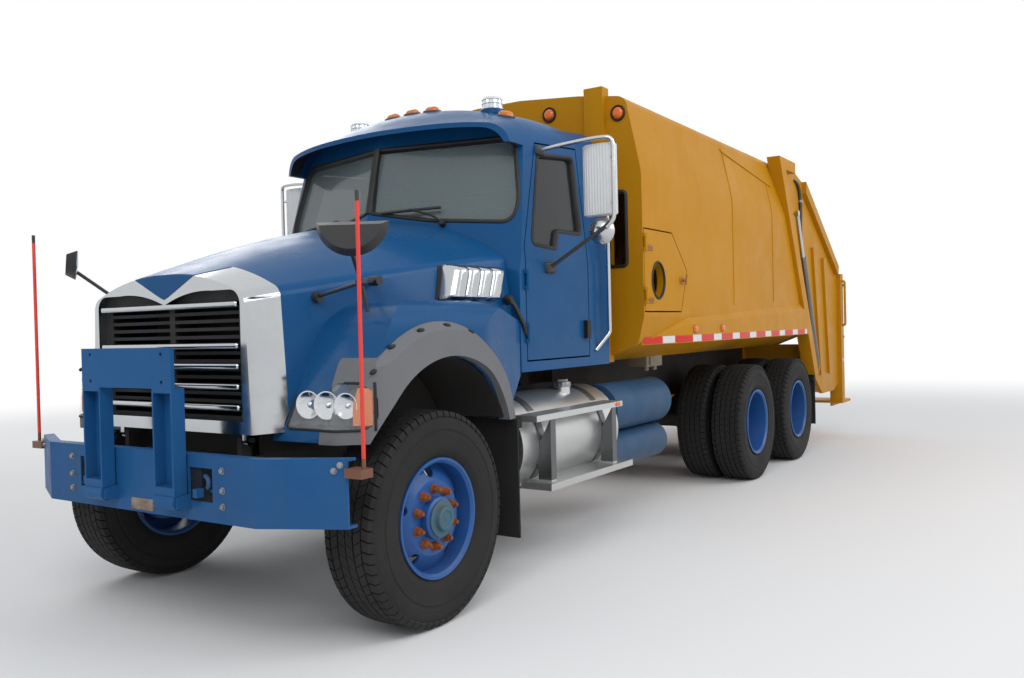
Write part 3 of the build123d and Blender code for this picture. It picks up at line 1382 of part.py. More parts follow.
with BuildPart() as sweep_panel:
    plate(side_plane(0), [along_sweep(110, -35), along_sweep(sweep_length, -35), along_sweep(sweep_length, 10),
                          along_sweep(110, 60)], recess_inner_x - 10)
    for x in (200, 700):
        plate(side_plane(x), [along_sweep(0, -45), along_sweep(115, -45), along_sweep(500, 60), along_sweep(115, 110),
                              along_sweep(0, 45)], 90)
        rod((x, pivot_y, pivot_z), (x + 90, pivot_y, pivot_z), 55)
        rod((x - 1, pivot_y, pivot_z), (x + 91, pivot_y, pivot_z), packer_pin_radius + pin_gap, Mode.SUBTRACT)
    mirror(about=Plane.YZ)
sweep_panel.part.label = "sweep_panel"
export_step(sweep_panel.part, "parts/sweep_panel.step")

# Lift cylinders of the tailgate: barrel on the body's low corner, rod up to the tailgate
lift_length = sqrt((lift_eye_y - lift_base_y)**2 + (lift_eye_z - lift_base_z)**2)
lift_dy = (lift_eye_y - lift_base_y) / lift_length
lift_dz = (lift_eye_z - lift_base_z) / lift_length


def on_lift(x, distance):
    """A point on the cylinder's line, at x and a distance up from its base pin."""
    return (x, lift_base_y + lift_dy * distance, lift_base_z + lift_dz * distance)


with BuildPart() as barrel:
    rod(on_lift(lift_x, 30), on_lift(lift_x, barrel_length), barrel_radius)
    rod(on_lift(lift_x, 60), on_lift(lift_x, barrel_length + 1), lift_rod_radius + pin_gap, Mode.SUBTRACT)
    rod((lift_x - 25, lift_base_y, lift_base_z), (lift_x + 25, lift_base_y, lift_base_z), 38)
    rod((lift_x - 26, lift_base_y, lift_base_z), (lift_x + 31, lift_base_y, lift_base_z), lift_pin_radius + pin_gap, Mode.SUBTRACT)
with BuildPart() as lift_rod:
    rod(on_lift(lift_x, 700), on_lift(lift_x, lift_length), lift_rod_radius)
    rod((lift_x - 20, lift_eye_y, lift_eye_z), (lift_x + 20, lift_eye_y, lift_eye_z), 34)
    rod((lift_x - 44, lift_eye_y, lift_eye_z), (lift_x - 20, lift_eye_y, lift_eye_z), 18)
for piece, name in ((barrel, "lift_barrel"), (lift_rod, "lift_rod")):
    with BuildPart() as opposite:
        mirror(piece.part, about=Plane.YZ)
    for side, solid in (("left", piece), ("right", opposite)):
        solid.part.label = name + "_" + side
        export_step(solid.part, "parts/" + name + "_" + side + ".step")

# Steering knuckles: fork and pin round the beam's boss, and the spindle
fork_z = boss_half_height + 8
with BuildPart() as knuckle:
    rod((kingpin_x, front_axle_y, steer_axle_z - 105), (kingpin_x, front_axle_y, steer_axle_z + 105), kingpin_radius)
    for low, high in ((-105, -fork_z), (fork_z, 105)):
        rod((kingpin_x, front_axle_y, steer_axle_z + low), (kingpin_x, front_axle_y, steer_axle_z + high), 50)
        block((kingpin_x, kingpin_x + 110), (front_axle_y - 45, front_axle_y + 45),
              (steer_axle_z + low, steer_axle_z + high))
    block((kingpin_x + 70, kingpin_x + 110), (front_axle_y - 60, front_axle_y + 60),
          (steer_axle_z - 105, steer_axle_z + 105))
    rod((kingpin_x + 110, front_axle_y, steer_axle_z), (kingpin_x + 260, front_axle_y, steer_axle_z), spindle_radius)

# Wheels: tyre and rim outlines as (distance from the tyre's middle, radius)
half_flange = flange_span / 2


def tyre(centre_x, axle_y, width):
    """One tyre: beads between the rim's flanges, bulged sidewalls and a flat tread."""
    half = width / 2
    profile = [
        (half_flange - running_gap, tyre_seat_radius + running_gap),
        (half_flange - running_gap, flange_radius + 4),
        (half - 14, 350),
        (half, 410),
        (half - 3, 470),
        (half - 14, tyre_radius - 20),
        (half - 32, tyre_radius - 2),
        (half - 70, tyre_radius),
    ]
    left = [(centre_x + x, radius) for x, radius in profile]
    right = [(centre_x - x, radius) for x, radius in reversed(profile)]
    ring(axle_y, tyre_radius, left + right)


def rim(centre_x, axle_y):
    """One rim's barrel with its two flanges and dropped centre."""
    half = half_flange
    profile = [
        (-half - rim_thickness, flange_radius),
        (-half, flange_radius),
        (-half, tyre_seat_radius),
        (half, tyre_seat_radius),
        (half, flange_radius),
        (half + rim_thickness, flange_radius),
        (half + rim_thickness, tyre_seat_radius),
        (half, tyre_seat_radius - rim_thickness),
        (-half, tyre_seat_radius - rim_thickness),
        (-half - rim_thickness, tyre_seat_radius),
    ]
    ring(axle_y, tyre_radius, [(centre_x + x, radius) for x, radius in profile])


def hand_holes(centre_x, axle_y, reach):
    """The ring of hand holes through a wheel's disc."""
    with BuildSketch(Plane(origin=(centre_x, axle_y, tyre_radius), x_dir=(0, 1, 0), z_dir=(1, 0, 0))) as holes:
        with PolarLocations(hand_hole_circle, hand_hole_count, start_angle=234):
            Circle(hand_hole_radius)
    extrude(holes.sketch, amount=reach, mode=Mode.SUBTRACT)


disc_foot_radius = tyre_seat_radius - rim_thickness
with BuildPart() as steer_tyre:
    tyre(steer_tyre_x, front_axle_y, steer_tyre_width)
with BuildPart() as steer_wheel:
    rim(steer_tyre_x, front_axle_y)
    disc = [
        (steer_tyre_x + 20, disc_foot_radius + 1),
        (steer_tyre_x + 36, disc_foot_radius + 1),
        (steer_tyre_x + 92, bolt_face_radius),
        (steer_tyre_x + 92, hub_radius - 5),
        (steer_tyre_x + 92 - disc_thickness, hub_radius - 5),
        (steer_tyre_x + 92 - disc_thickness, bolt_face_radius),
    ]
    ring(front_axle_y, tyre_radius, disc)
    hand_holes(steer_tyre_x, front_axle_y, 120)
    hub = [
        (kingpin_x + 130, spindle_radius + pin_gap),
        (kingpin_x + 130, drum_radius),
        (kingpin_x + 150, drum_radius),
        (kingpin_x + 150, hub_radius),
        (steer_tyre_x + 130, hub_radius),
        (steer_tyre_x + 145, hub_radius - 25),
        (steer_tyre_x + 145, 0),
        (kingpin_x + 270, 0),
        (kingpin_x + 270, spindle_radius + pin_gap),
    ]
    ring(front_axle_y, tyre_radius, hub)

for piece, name in ((knuckle, "knuckle"), (steer_tyre, "front_tyre"), (steer_wheel, "front_wheel")):
    with BuildPart() as opposite:
        mirror(piece.part, about=Plane.YZ)
    for side, solid in (("left", piece), ("right", opposite)):
        solid.part.label = name + "_" + side
        export_step(solid.part, "parts/" + name + "_" + side + ".step")

outer_x = dual_x + dual_spacing / 2
inner_x = dual_x - dual_spacing / 2
for number, axle_y in enumerate(axle_ys, start=1):
    with BuildPart() as dual_tyres:
        tyre(outer_x, axle_y, drive_tyre_width)
        tyre(inner_x, axle_y, drive_tyre_width)
    with BuildPart() as dual_wheels:
        rim(outer_x, axle_y)
        rim(inner_x, axle_y)
        outer_disc = [
            (outer_x - 60, disc_foot_radius + 1),
            (outer_x - 44, disc_foot_radius + 1),
            (dual_x + disc_thickness, bolt_face_radius),
            (dual_x + disc_thickness, hub_radius - 5),
            (dual_x, hub_radius - 5),
            (dual_x, bolt_face_radius),
        ]
        ring(axle_y, tyre_radius, outer_disc)
        ring(axle_y, tyre_radius, [(2 * dual_x - x, radius) for x, radius in reversed(outer_disc)])
        hand_holes(dual_x - 130, axle_y, 260)
        drive_hub = [
            (drive_tube_end_x + 12, spindle_radius + pin_gap),
            (drive_tube_end_x + 12, drum_radius),
            (drive_tube_end_x + 150, drum_radius),
            (drive_tube_end_x + 150, hub_radius),
            (dual_x + 120, hub_radius - 5),
            (dual_x + 150, hub_radius - 35),
            (dual_x + 150, 0),
            (dual_x + 10, 0),
            (dual_x + 10, spindle_radius + pin_gap),
        ]
        ring(axle_y, tyre_radius, drive_hub)
    for piece, name in ((dual_tyres, "rear_tyres"), (dual_wheels, "rear_wheels")):
        with BuildPart() as opposite:
            mirror(piece.part, about=Plane.YZ)
        for side, solid in (("left", piece), ("right", opposite)):
            solid.part.label = name + "_" + str(number) + "_" + side
            export_step(solid.part, "parts/" + solid.part.label + ".step")
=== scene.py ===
import bmesh
import bpy
import math
import numpy as np
from mathutils import Matrix, Vector


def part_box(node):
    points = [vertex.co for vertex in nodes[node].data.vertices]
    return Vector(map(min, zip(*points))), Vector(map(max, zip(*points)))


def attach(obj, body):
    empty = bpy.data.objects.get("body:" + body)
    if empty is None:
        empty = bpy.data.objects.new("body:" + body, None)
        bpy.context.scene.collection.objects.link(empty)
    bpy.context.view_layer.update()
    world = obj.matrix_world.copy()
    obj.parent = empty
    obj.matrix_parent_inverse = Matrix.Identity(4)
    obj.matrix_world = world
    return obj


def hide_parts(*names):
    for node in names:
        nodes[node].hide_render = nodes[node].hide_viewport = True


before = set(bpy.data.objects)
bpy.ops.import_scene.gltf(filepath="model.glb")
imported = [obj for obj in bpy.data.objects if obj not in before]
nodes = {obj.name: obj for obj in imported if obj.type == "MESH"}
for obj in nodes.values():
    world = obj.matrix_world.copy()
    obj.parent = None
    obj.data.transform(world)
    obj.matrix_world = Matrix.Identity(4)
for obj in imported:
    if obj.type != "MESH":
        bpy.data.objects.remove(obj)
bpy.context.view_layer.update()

# Camera and studio. The truck stands on a pale floor under an even sky, seen from its driver's front corner at eye
# height, with one long soft lamp over the nose and one along each side. The camera's place, turns and lens were
# solved from the photo's tyres, bumper, cab edges and long body lines.
front_axle_y = -3.83
camera_place = (3.8988, front_axle_y - 3.5042, 1.470)
camera_yaw = math.radians(33.1614)
camera_pitch = math.radians(-0.7406)
camera_roll = math.radians(-1.3836)
ahead = Vector((-math.sin(camera_yaw) * math.cos(camera_pitch), math.cos(camera_yaw) * math.cos(camera_pitch),
                math.sin(camera_pitch)))
level_right = ahead.cross(Vector((0, 0, 1))).normalized()
level_up = level_right.cross(ahead)
right = math.cos(camera_roll) * level_right + math.sin(camera_roll) * level_up
up = math.cos(camera_roll) * level_up - math.sin(camera_roll) * level_right
camera_data = bpy.data.cameras.new("camera")
camera_data.sensor_width = 36
camera_data.lens = 31.568
camera_data.clip_end = 200
camera = bpy.data.objects.new("camera", camera_data)
camera.matrix_world = Matrix([(*row,) for row in zip(right, up, -ahead, camera_place)] + [(0, 0, 0, 1)])
bpy.context.scene.collection.objects.link(camera)
bpy.context.scene.camera = camera
bpy.context.scene.view_settings.view_transform = "Standard"


def soft_lamp(name, place, target, width, height, power):
    """A rectangular lamp at place, turned to face target."""
    lamp = bpy.data.lights.new(name, "AREA")
    lamp.shape = "RECTANGLE"
    lamp.size = width
    lamp.size_y = height
    lamp.energy = power
    holder = bpy.data.objects.new(name, lamp)
    holder.location = place
    holder.rotation_euler = (Vector(target) - Vector(place)).to_track_quat("-Z", "Y").to_euler()
    bpy.context.scene.collection.objects.link(holder)


soft_lamp("lamp_over_nose", (5.0, -10.0, 8.0), (0, -2, 1.2), 7, 5, 420)
soft_lamp("lamp_side", (9.0, 1.0, 6.5), (0, 1, 1.2), 9, 4, 420)
soft_lamp("lamp_far_side", (-9.0, 2.0, 7.0), (0, 0, 1.5), 9, 4, 260)


def add_node(tree, kind, inputs=(), **settings):
    """One shader node of a kind. Each input, by name or number, takes a value or is linked to another's output."""
    node = tree.nodes.new("ShaderNode" + kind)
    for setting, value in settings.items():
        setattr(node, setting, value)
    for key, value in dict(inputs).items():
        if hasattr(value, "is_output"):
            tree.links.new(value, node.inputs[key])
        else:
            node.inputs[key].default_value = value
    return node


def seen_rays(tree):
    """1 for camera, glossy and transmitted rays, which see the white background, and 0 for the light itself."""
    rays = add_node(tree, "LightPath").outputs
    either = add_node(tree, "Math", {0: rays["Is Camera Ray"], 1: rays["Is Glossy Ray"]}, operation="MAXIMUM")
    any_of_them = {0: either.outputs[0], 1: rays["Is Transmission Ray"]}
    return add_node(tree, "Math", any_of_them, operation="MAXIMUM").outputs[0]


sky = bpy.data.worlds.new("sky")
bpy.context.scene.world = sky
sky.use_nodes = True
sky.node_tree.nodes.clear()
sky_light = add_node(sky.node_tree, "Background", {"Color": (0.93, 0.96, 1.0, 1), "Strength": 0.62})
sky_seen = add_node(sky.node_tree, "Background", {"Color": (1, 1, 1, 1), "Strength": 1.0})
sky_mix = add_node(sky.node_tree, "MixShader",
                   {0: seen_rays(sky.node_tree), 1: sky_light.outputs[0], 2: sky_seen.outputs[0]})
add_node(sky.node_tree, "OutputWorld", {0: sky_mix.outputs[0]})


def grid_faces(rows, columns, wrap_u=False, wrap_v=False, start=0):
    """Faces of a grid of rows by columns points, numbered from start."""
    u, v = np.meshgrid(np.arange(rows - (not wrap_u)), np.arange(columns - (not wrap_v)), indexing="ij")
    next_u = (u + 1) % rows
    next_v = (v + 1) % columns
    cells = np.stack([u * columns + v, next_u * columns + v, next_u * columns + next_v, u * columns + next_v], -1)
    return (cells.reshape(-1, 4) + start).tolist()


floor_reach = 60.0
floor_side = np.linspace(-floor_reach, floor_reach, 3)
floor_x, floor_y = np.meshgrid(floor_side, floor_side, indexing="ij")
floor_points = np.stack([floor_x, floor_y, np.full_like(floor_x, -0.001)], -1)
floor_mesh = bpy.data.meshes.new("floor")
floor_mesh.from_pydata(floor_points.reshape(-1, 3).tolist(), [], grid_faces(3, 3))
floor = bpy.data.objects.new("floor", floor_mesh)
bpy.context.scene.collection.objects.link(floor)
floor_finish = bpy.data.materials.new("floor")
floor_finish.use_nodes = True
floor_tree = floor_finish.node_tree
floor_shader = floor_tree.nodes["Principled BSDF"]
floor_shader.inputs["Base Color"].default_value = (0.80, 0.80, 0.80, 1)
floor_shader.inputs["Roughness"].default_value = 0.95
floor_shader.inputs["Specular IOR Level"].default_value = 0.1
floor_away = add_node(floor_tree, "VectorMath", {0: add_node(floor_tree, "TexCoord").outputs["Object"]},
                      operation="LENGTH")
floor_fade = add_node(floor_tree, "MapRange", {"Value": floor_away.outputs["Value"], "From Min": 6.0, "From Max": 17.0},
                      interpolation_type="SMOOTHSTEP")
floor_share = add_node(floor_tree, "Math", {0: floor_fade.outputs["Result"], 1: seen_rays(floor_tree)},
                       operation="MULTIPLY")
floor_mix = add_node(floor_tree, "MixShader", {0: floor_share.outputs[0], 1: floor_shader.outputs[0],
                                               2: add_node(floor_tree, "Emission").outputs[0]})
floor_tree.links.new(floor_mix.outputs[0], floor_tree.nodes["Material Output"].inputs["Surface"])
floor_mesh.materials.append(floor_finish)


# Frame, axles and engine: riveted and cast steel, painted black once and now coated in road dirt and oil. The
# finish below is the one that every paint, casting and moulding on the truck is made from.
def finish_on(name, colour, roughness=0.4, metallic=0.0, stain=0.25, stain_colour=None, dust=0.0, dust_colour=None,
              dust_top=1.2, coat=0.0, bump=0.0, bump_scale=40.0, stain_scale=1.2, shine=0.5, zones=(), streak=0.0,
              streak_colour=None, stripes=None):
    """A material with a stained base colour, varied roughness and dust that thickens towards the ground.

    The colour runs from colour to stain_colour by stain times a soft noise. Each zone (low, high, colour) repaints
    the box between two corners, with x taken without its sign, or only its downward faces where a fourth value is
    there. Streaks are noise drawn out upright. Stripes (start, pitch, share, colour) repaint that share of each
    pitch along Y. Dust comes last, by dust times how far the point lies below dust_top times another noise."""
    material = bpy.data.materials.new(name)
    material.use_nodes = True
    tree = material.node_tree
    shader = tree.nodes["Principled BSDF"]
    shader.inputs["Metallic"].default_value = metallic
    shader.inputs["Coat Weight"].default_value = coat
    shader.inputs["Coat Roughness"].default_value = 0.08
    shader.inputs["Specular IOR Level"].default_value = shine
    place = add_node(tree, "TexCoord").outputs["Object"]

    def vector(operation, first, second=None):
        """A vector sum of a socket and a constant."""
        inputs = {0: first} if second is None else {0: first, 1: second}
        return add_node(tree, "VectorMath", inputs, operation=operation).outputs[0]

    def sum_of(operation, first, second):
        """A sum of two numbers or sockets."""
        return add_node(tree, "Math", {0: first, 1: second}, operation=operation).outputs[0]

    def noise(scale, detail=6.0, rough=0.6, stretch=None):
        """Noise on the piece's own coordinates, drawn out where a stretch is given."""
        where = vector("MULTIPLY", place, stretch) if stretch else place
        inputs = {"Scale": scale, "Detail": detail, "Roughness": rough, "Vector": where}
        return add_node(tree, "TexNoise", inputs).outputs["Fac"]

    def spread(value, low, high, out_low, out_high):
        """A value run from low..high to out_low..out_high and clamped there."""
        inputs = {"Value": value, "From Min": low, "From Max": high, "To Min": out_low, "To Max": out_high}
        return add_node(tree, "MapRange", inputs).outputs["Result"]

    def blend(share, first, second):
        """The first colour, or the second by a share."""
        ends = [value if hasattr(value, "is_output") else (*value, 1) for value in (first, second)]
        return add_node(tree, "Mix", {0: share, 6: ends[0], 7: ends[1]}, data_type="RGBA").outputs[2]

    def parts(value):
        """The X, Y and Z of a vector."""
        return add_node(tree, "SeparateXYZ", {0: value}).outputs

    stain_colour = stain_colour or tuple(0.62 * c for c in colour)
    shade = blend(spread(noise(stain_scale), 0.40, 0.72, 0.0, stain), colour, stain_colour)
    fine = spread(noise(stain_scale * 22, 3.0), 0.3, 0.7, 0.0, stain * 0.5)
    shade = blend(fine, shade, tuple(0.8 * c for c in colour))
    if stripes:
        start, pitch, share, stripe_colour = stripes
        along = sum_of("FRACT", sum_of("DIVIDE", sum_of("SUBTRACT", parts(place)["Y"], start), pitch), 0)
        shade = blend(sum_of("LESS_THAN", along, share), shade, stripe_colour)
    folded = vector("ABSOLUTE", place)
    for low, high, zone_colour, *downward in zones:
        middle = tuple((a + b) / 2 for a, b in zip(low, high))
        half = tuple((b - a) / 2 for a, b in zip(low, high))
        whole = add_node(tree, "CombineXYZ", {0: parts(folded)["X"], 1: parts(place)["Y"], 2: parts(place)["Z"]})
        outside = parts(vector("SUBTRACT", vector("ABSOLUTE", vector("SUBTRACT", whole.outputs[0], middle)), half))
        furthest = sum_of("MAXIMUM", sum_of("MAXIMUM", outside["X"], outside["Y"]), outside["Z"])
        inside = sum_of("LESS_THAN", furthest, 0.0)
        if downward:
            facing = add_node(tree, "TexCoord").outputs["Normal"]
            inside = sum_of("MULTIPLY", inside, sum_of("LESS_THAN", parts(facing)["Z"], -0.3))
        shade = blend(inside, shade, zone_colour)
    if streak:
        runs = sum_of("MULTIPLY", spread(noise(9, 4.0, 0.6, (1, 1, 0.05)), 0.55, 0.75, 0, streak),
                      spread(noise(0.9, 2.0), 0.42, 0.62, 0, 1))
        shade = blend(runs, shade, streak_colour or (0.16, 0.07, 0.02))
    if dust:
        depth = spread(parts(place)["Z"], dust_top, 0.2, 0.0, 1.0)
        cover = sum_of("MULTIPLY", depth, spread(noise(2.6), 0.35, 0.65, dust * 0.3, dust))
        shade = blend(cover, shade, dust_colour or (0.20, 0.18, 0.155))
    tree.links.new(shade, shader.inputs["Base Color"])
    tree.links.new(spread(noise(stain_scale * 4), 0.3, 0.7, max(0.02, roughness - 0.07), roughness + 0.09),
                   shader.inputs["Roughness"])
    if bump:
        relief = add_node(tree, "Bump", {"Strength": bump, "Distance": 0.002, "Height": noise(bump_scale, 4.0)})
        tree.links.new(relief.outputs[0], shader.inputs["Normal"])
    return material


def dress(material, *names):
    """Gives the named CAD nodes one material."""
    for name in names:
        nodes[name].data.materials.clear()
        nodes[name].data.materials.append(material)


chassis_black = finish_on("chassis_black", (0.018, 0.018, 0.019), 0.66, stain=0.6, stain_colour=(0.05, 0.035, 0.026),
                          dust=0.5, dust_colour=(0.10, 0.09, 0.075), dust_top=1.3, bump=0.3, shine=0.3)
dress(chassis_black, "frame_rails", "axles", "engine", "knuckle_left", "knuckle_right", "fender_liners")

# Tyres: moulded rubber carcasses whose tread is rows of worn blocks between narrow grooves, dusty on the walls. The
# rear axles carry them in pairs on one hub, the front axle single and wider.
rubber = finish_on("rubber", (0.0125, 0.0125, 0.013), 0.78, stain=0.5, stain_colour=(0.024, 0.022, 0.020), dust=0.35,
                   dust_colour=(0.045, 0.042, 0.038), dust_top=1.15, bump=0.3, shine=0.25)
tyre_radius = 0.535
lug_depth = 0.013


def lathe(outline, centre_x, axle_y, axle_z, turns=96):
    """Points of a surface turned about a wheel's axle.

    Each outline point (x, r) becomes the ring x + centre_x, axle_y + r cos a, axle_z + r sin a for a round the turn."""
    outline = np.asarray(outline, float)
    angle = np.linspace(0, 2 * np.pi, turns, endpoint=False)[:, None]
    x = np.broadcast_to(outline[:, 0] + centre_x, (turns, len(outline)))
    return np.stack([x, axle_y + outline[:, 1] * np.cos(angle), axle_z + outline[:, 1] * np.sin(angle)], -1)


def carcass_outline(half_width):
    """Half-width w(r) of the tyre at radius r: a bulged wall with raised bands, closed across the tread's base."""
    wall_r = np.array([0.288, 0.300, 0.312, 0.316, 0.330, 0.336, 0.350, 0.385, 0.420, 0.424, 0.436, 0.440, 0.470,
                       0.496, 0.510, 0.520])
    wall_w = np.array([-0.032, -0.031, -0.024, -0.020, -0.015, -0.0105, -0.008, -0.002, 0.0, -0.0035, -0.0035,
                       -0.0005, -0.003, -0.009, -0.018, -0.034])
    right_side = np.stack([half_width + wall_w, wall_r], -1)
    tread = np.array([[half_width - 0.06, tyre_radius - lug_depth], [-half_width + 0.06, tyre_radius - lug_depth]])
    left_side = right_side[::-1] * (-1, 1)
    whole = np.concatenate([right_side, tread, left_side])[::-1]
    return np.concatenate([whole, [[0.09, 0.283], [-0.09, 0.283]]])


def lug_blocks(half_width, centre_x, axle_y, around):
    """Vertices and faces of the lugs: a cross-section (x, r) swept through part of a turn and skewed with x.

    Row k's blocks run from a0 to a0 + width, where a0 = 2 pi (i + stagger) / around + skew x."""
    rows = (
        (((-0.003, 0.516), (-0.003, 0.535), (-0.042, 0.535), (-0.042, 0.516)), 0.0, 0.93, 1.2),
        (((0.042, 0.516), (0.042, 0.535), (0.003, 0.535), (0.003, 0.516)), 0.5, 0.93, 1.2),
        (((-0.050, 0.516), (-0.050, 0.5348), (-0.090, 0.5342), (-0.090, 0.515)), 0.35, 0.92, -1.0),
        (((0.090, 0.515), (0.090, 0.5342), (0.050, 0.5348), (0.050, 0.516)), 0.15, 0.92, -1.0),
        (((-0.098, 0.514), (-0.098, 0.5338), (-half_width + 0.018, 0.5295), (-half_width + 0.004, 0.506),
          (-half_width + 0.012, 0.496)), 0.0, 0.84, 0.6),
        (((half_width - 0.012, 0.496), (half_width - 0.004, 0.506), (half_width - 0.018, 0.5295), (0.098, 0.5338),
          (0.098, 0.514)), 0.5, 0.84, 0.6),
    )
    points = []
    faces = []
    start = 0
    for section, stagger, share, skew in rows:
        section = np.array(section)
        count = len(section)
        pitch = 2 * np.pi / around
        first = pitch * (np.arange(around) + stagger)[:, None, None]
        angle = first + np.array([0, share * pitch])[None, :, None] + (skew * section[:, 0])[None, None, :]
        x = np.broadcast_to(section[:, 0] + centre_x, angle.shape)
        ring = np.stack([x, axle_y + section[:, 1] * np.cos(angle), tyre_radius + section[:, 1] * np.sin(angle)], -1)
        points.append(ring.reshape(-1, 3))
        base = start + 2 * count * np.arange(around)[:, None]
        near = np.arange(count)
        far = (near + 1) % count
        sides = np.stack([near, near + count, far + count, far], -1)
        faces += (base[:, :, None] + sides[None]).reshape(-1, 4).tolist()
        faces += (base + near[None]).tolist()
        faces += (base + count + near[None, ::-1]).tolist()
        start += 2 * count * around
    return np.concatenate(points), faces


def joined_grids(skins, wrap_u=False, wrap_v=True):
    """Points and faces of several grids of points[u, v] together."""
    points = []
    faces = []
    for skin in skins:
        faces += grid_faces(*np.shape(skin)[:2], wrap_u, wrap_v, sum(len(part) for part in points))
        points.append(np.asarray(skin, float).reshape(-1, 3))
    return np.concatenate(points), faces


def closed_object(name, points, faces, merge=1e-6):
    """An object from vertices and faces, with its seams merged and its faces turned outwards."""
    mesh = bpy.data.meshes.new(name)
    mesh.from_pydata(np.asarray(points, float).reshape(-1, 3).tolist(), [], faces)
    work = bmesh.new()
    work.from_mesh(mesh)
    bmesh.ops.remove_doubles(work, verts=work.verts, dist=merge)
    bmesh.ops.recalc_face_normals(work, faces=work.faces)
    work.to_mesh(mesh)
    work.free()
    piece = bpy.data.objects.new(name, mesh)
    bpy.context.scene.collection.objects.link(piece)
    return piece


def add_mesh(name, points, faces, material, body, slot, smooth_angle=35):
    """A piece from vertices and faces, dressed and riding on its body."""
    piece = closed_object(name, points, faces)
    piece.data.materials.append(material)
    piece.data.polygons.foreach_set("use_smooth", np.ones(len(piece.data.polygons), bool))
    piece.data.set_sharp_from_angle(angle=math.radians(smooth_angle))
    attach(piece, body)
    return piece


def add_skins(name, skins, material, body, slot, smooth_angle=35, wrap_u=False, wrap_v=True):
    """A piece from one or more grids of points[u, v], closed round v, and round u where wrap_u says so."""
    return add_mesh(name, *joined_grids(skins, wrap_u, wrap_v), material, body, slot, smooth_angle)


def tyres(name, centres, axle_y, half_width, around, body, cad_node):
    """The tyres of one wheel body as one piece: carcass surfaces and their lugs."""
    points = []
    faces = []
    start = 0
    for centre_x in centres:
        carcass = joined_grids([lathe(carcass_outline(half_width), centre_x, axle_y, tyre_radius)], True)
        for part, part_faces in (carcass, lug_blocks(half_width, centre_x, axle_y, around)):
            points.append(part)
            faces += [[v + start for v in face] for face in part_faces]
            start += len(part)
    piece = add_mesh(name, np.concatenate(points), faces, rubber, body, "rubber", 28)
    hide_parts(cad_node)


wheelbase = 4.760
tandem_spacing = 1.365
front_tyre_x = 1.027
outer_tyre_x = 1.092
inner_tyre_x = 0.762
axle_places = (("1", front_axle_y + wheelbase), ("2", front_axle_y + wheelbase + tandem_spacing))
sides = (("left", 1), ("right", -1))
for side, sign in sides:
    tyres("tyre_front_" + side, [sign * front_tyre_x], front_axle_y, 0.150, 64, side + "_front_wheel",
          "front_tyre_" + side)
    for number, axle_y in axle_places:
        tyres("tyres_rear_" + number + "_" + side, [sign * outer_tyre_x, sign * inner_tyre_x], axle_y, 0.140, 60,
              side + "_duals_" + number, "rear_tyres_" + number + "_" + side)
dress(rubber, "mud_flaps")

# Wheels: pressed steel discs in a deeper blue, dusty in the well, each held by ten flange nuts gone to orange rust
# round a cast hub with a bolted cap.
wheel_blue = finish_on("wheel_blue", (0.008, 0.085, 0.30), 0.38, stain=0.4, stain_colour=(0.010, 0.05, 0.16),
                       dust=0.22, dust_top=1.0, coat=0.1, shine=0.25)
dress(wheel_blue, "front_wheel_left", "front_wheel_right", "rear_wheels_1_left", "rear_wheels_1_right",
      "rear_wheels_2_left", "rear_wheels_2_right")
nut_rust = finish_on("nut_rust", (0.30, 0.085, 0.025), 0.85, stain=0.9, stain_colour=(0.10, 0.035, 0.018), bump=0.5,
                     bump_scale=120, stain_scale=25, shine=0.2)
nut_circle = 0.143
nut_count = 10


def wheel_nuts(name, face_x, sign, axle_y, body):
    """Ten nuts on a circle: each a flange, a six-sided body with a chamfer and a stud, as stacked rings (x, r)."""
    steps = np.array([(0.000, 0.0001), (0.000, 0.025), (0.005, 0.025), (0.008, 0.020), (0.030, 0.019),
                      (0.034, 0.015), (0.034, 0.011), (0.046, 0.0105), (0.048, 0.0085), (0.048, 0.0001)])
    corners = 12
    turn = np.linspace(0, 2 * np.pi, corners, endpoint=False)
    flat = np.where(np.arange(corners) % 2 == 0, 1.0, 0.90)
    six_sided = np.array([0, 0, 0, 1, 1, 0, 0, 0, 0, 0])[:, None]
    radius = steps[:, 1:2] * (six_sided * flat[None] + (1 - six_sided))
    place = 2 * np.pi * (np.arange(nut_count) + 0.5) / nut_count
    x = face_x + sign * steps[:, 0]
    y = axle_y + nut_circle * np.cos(place)[:, None, None] + radius[None] * np.cos(turn)[None, None]
    z = tyre_radius + nut_circle * np.sin(place)[:, None, None] + radius[None] * np.sin(turn)[None, None]
    add_skins(name, np.stack([np.broadcast_to(x[None, :, None], y.shape), y, z], -1), nut_rust, body,
              "chassis_steel")


def hub_cap(name, end_x, sign, axle_y, body, outline):
    """A cap turned about the axle: outline (out from the hub's end, r), closed on its own axis at both ends."""
    outline = np.array(outline) * (sign, 1)
    add_skins(name, [lathe(outline, end_x, axle_y, tyre_radius, 40)], hub_green, body, "wheel_paint", 30, wrap_u=True,
              wrap_v=False)


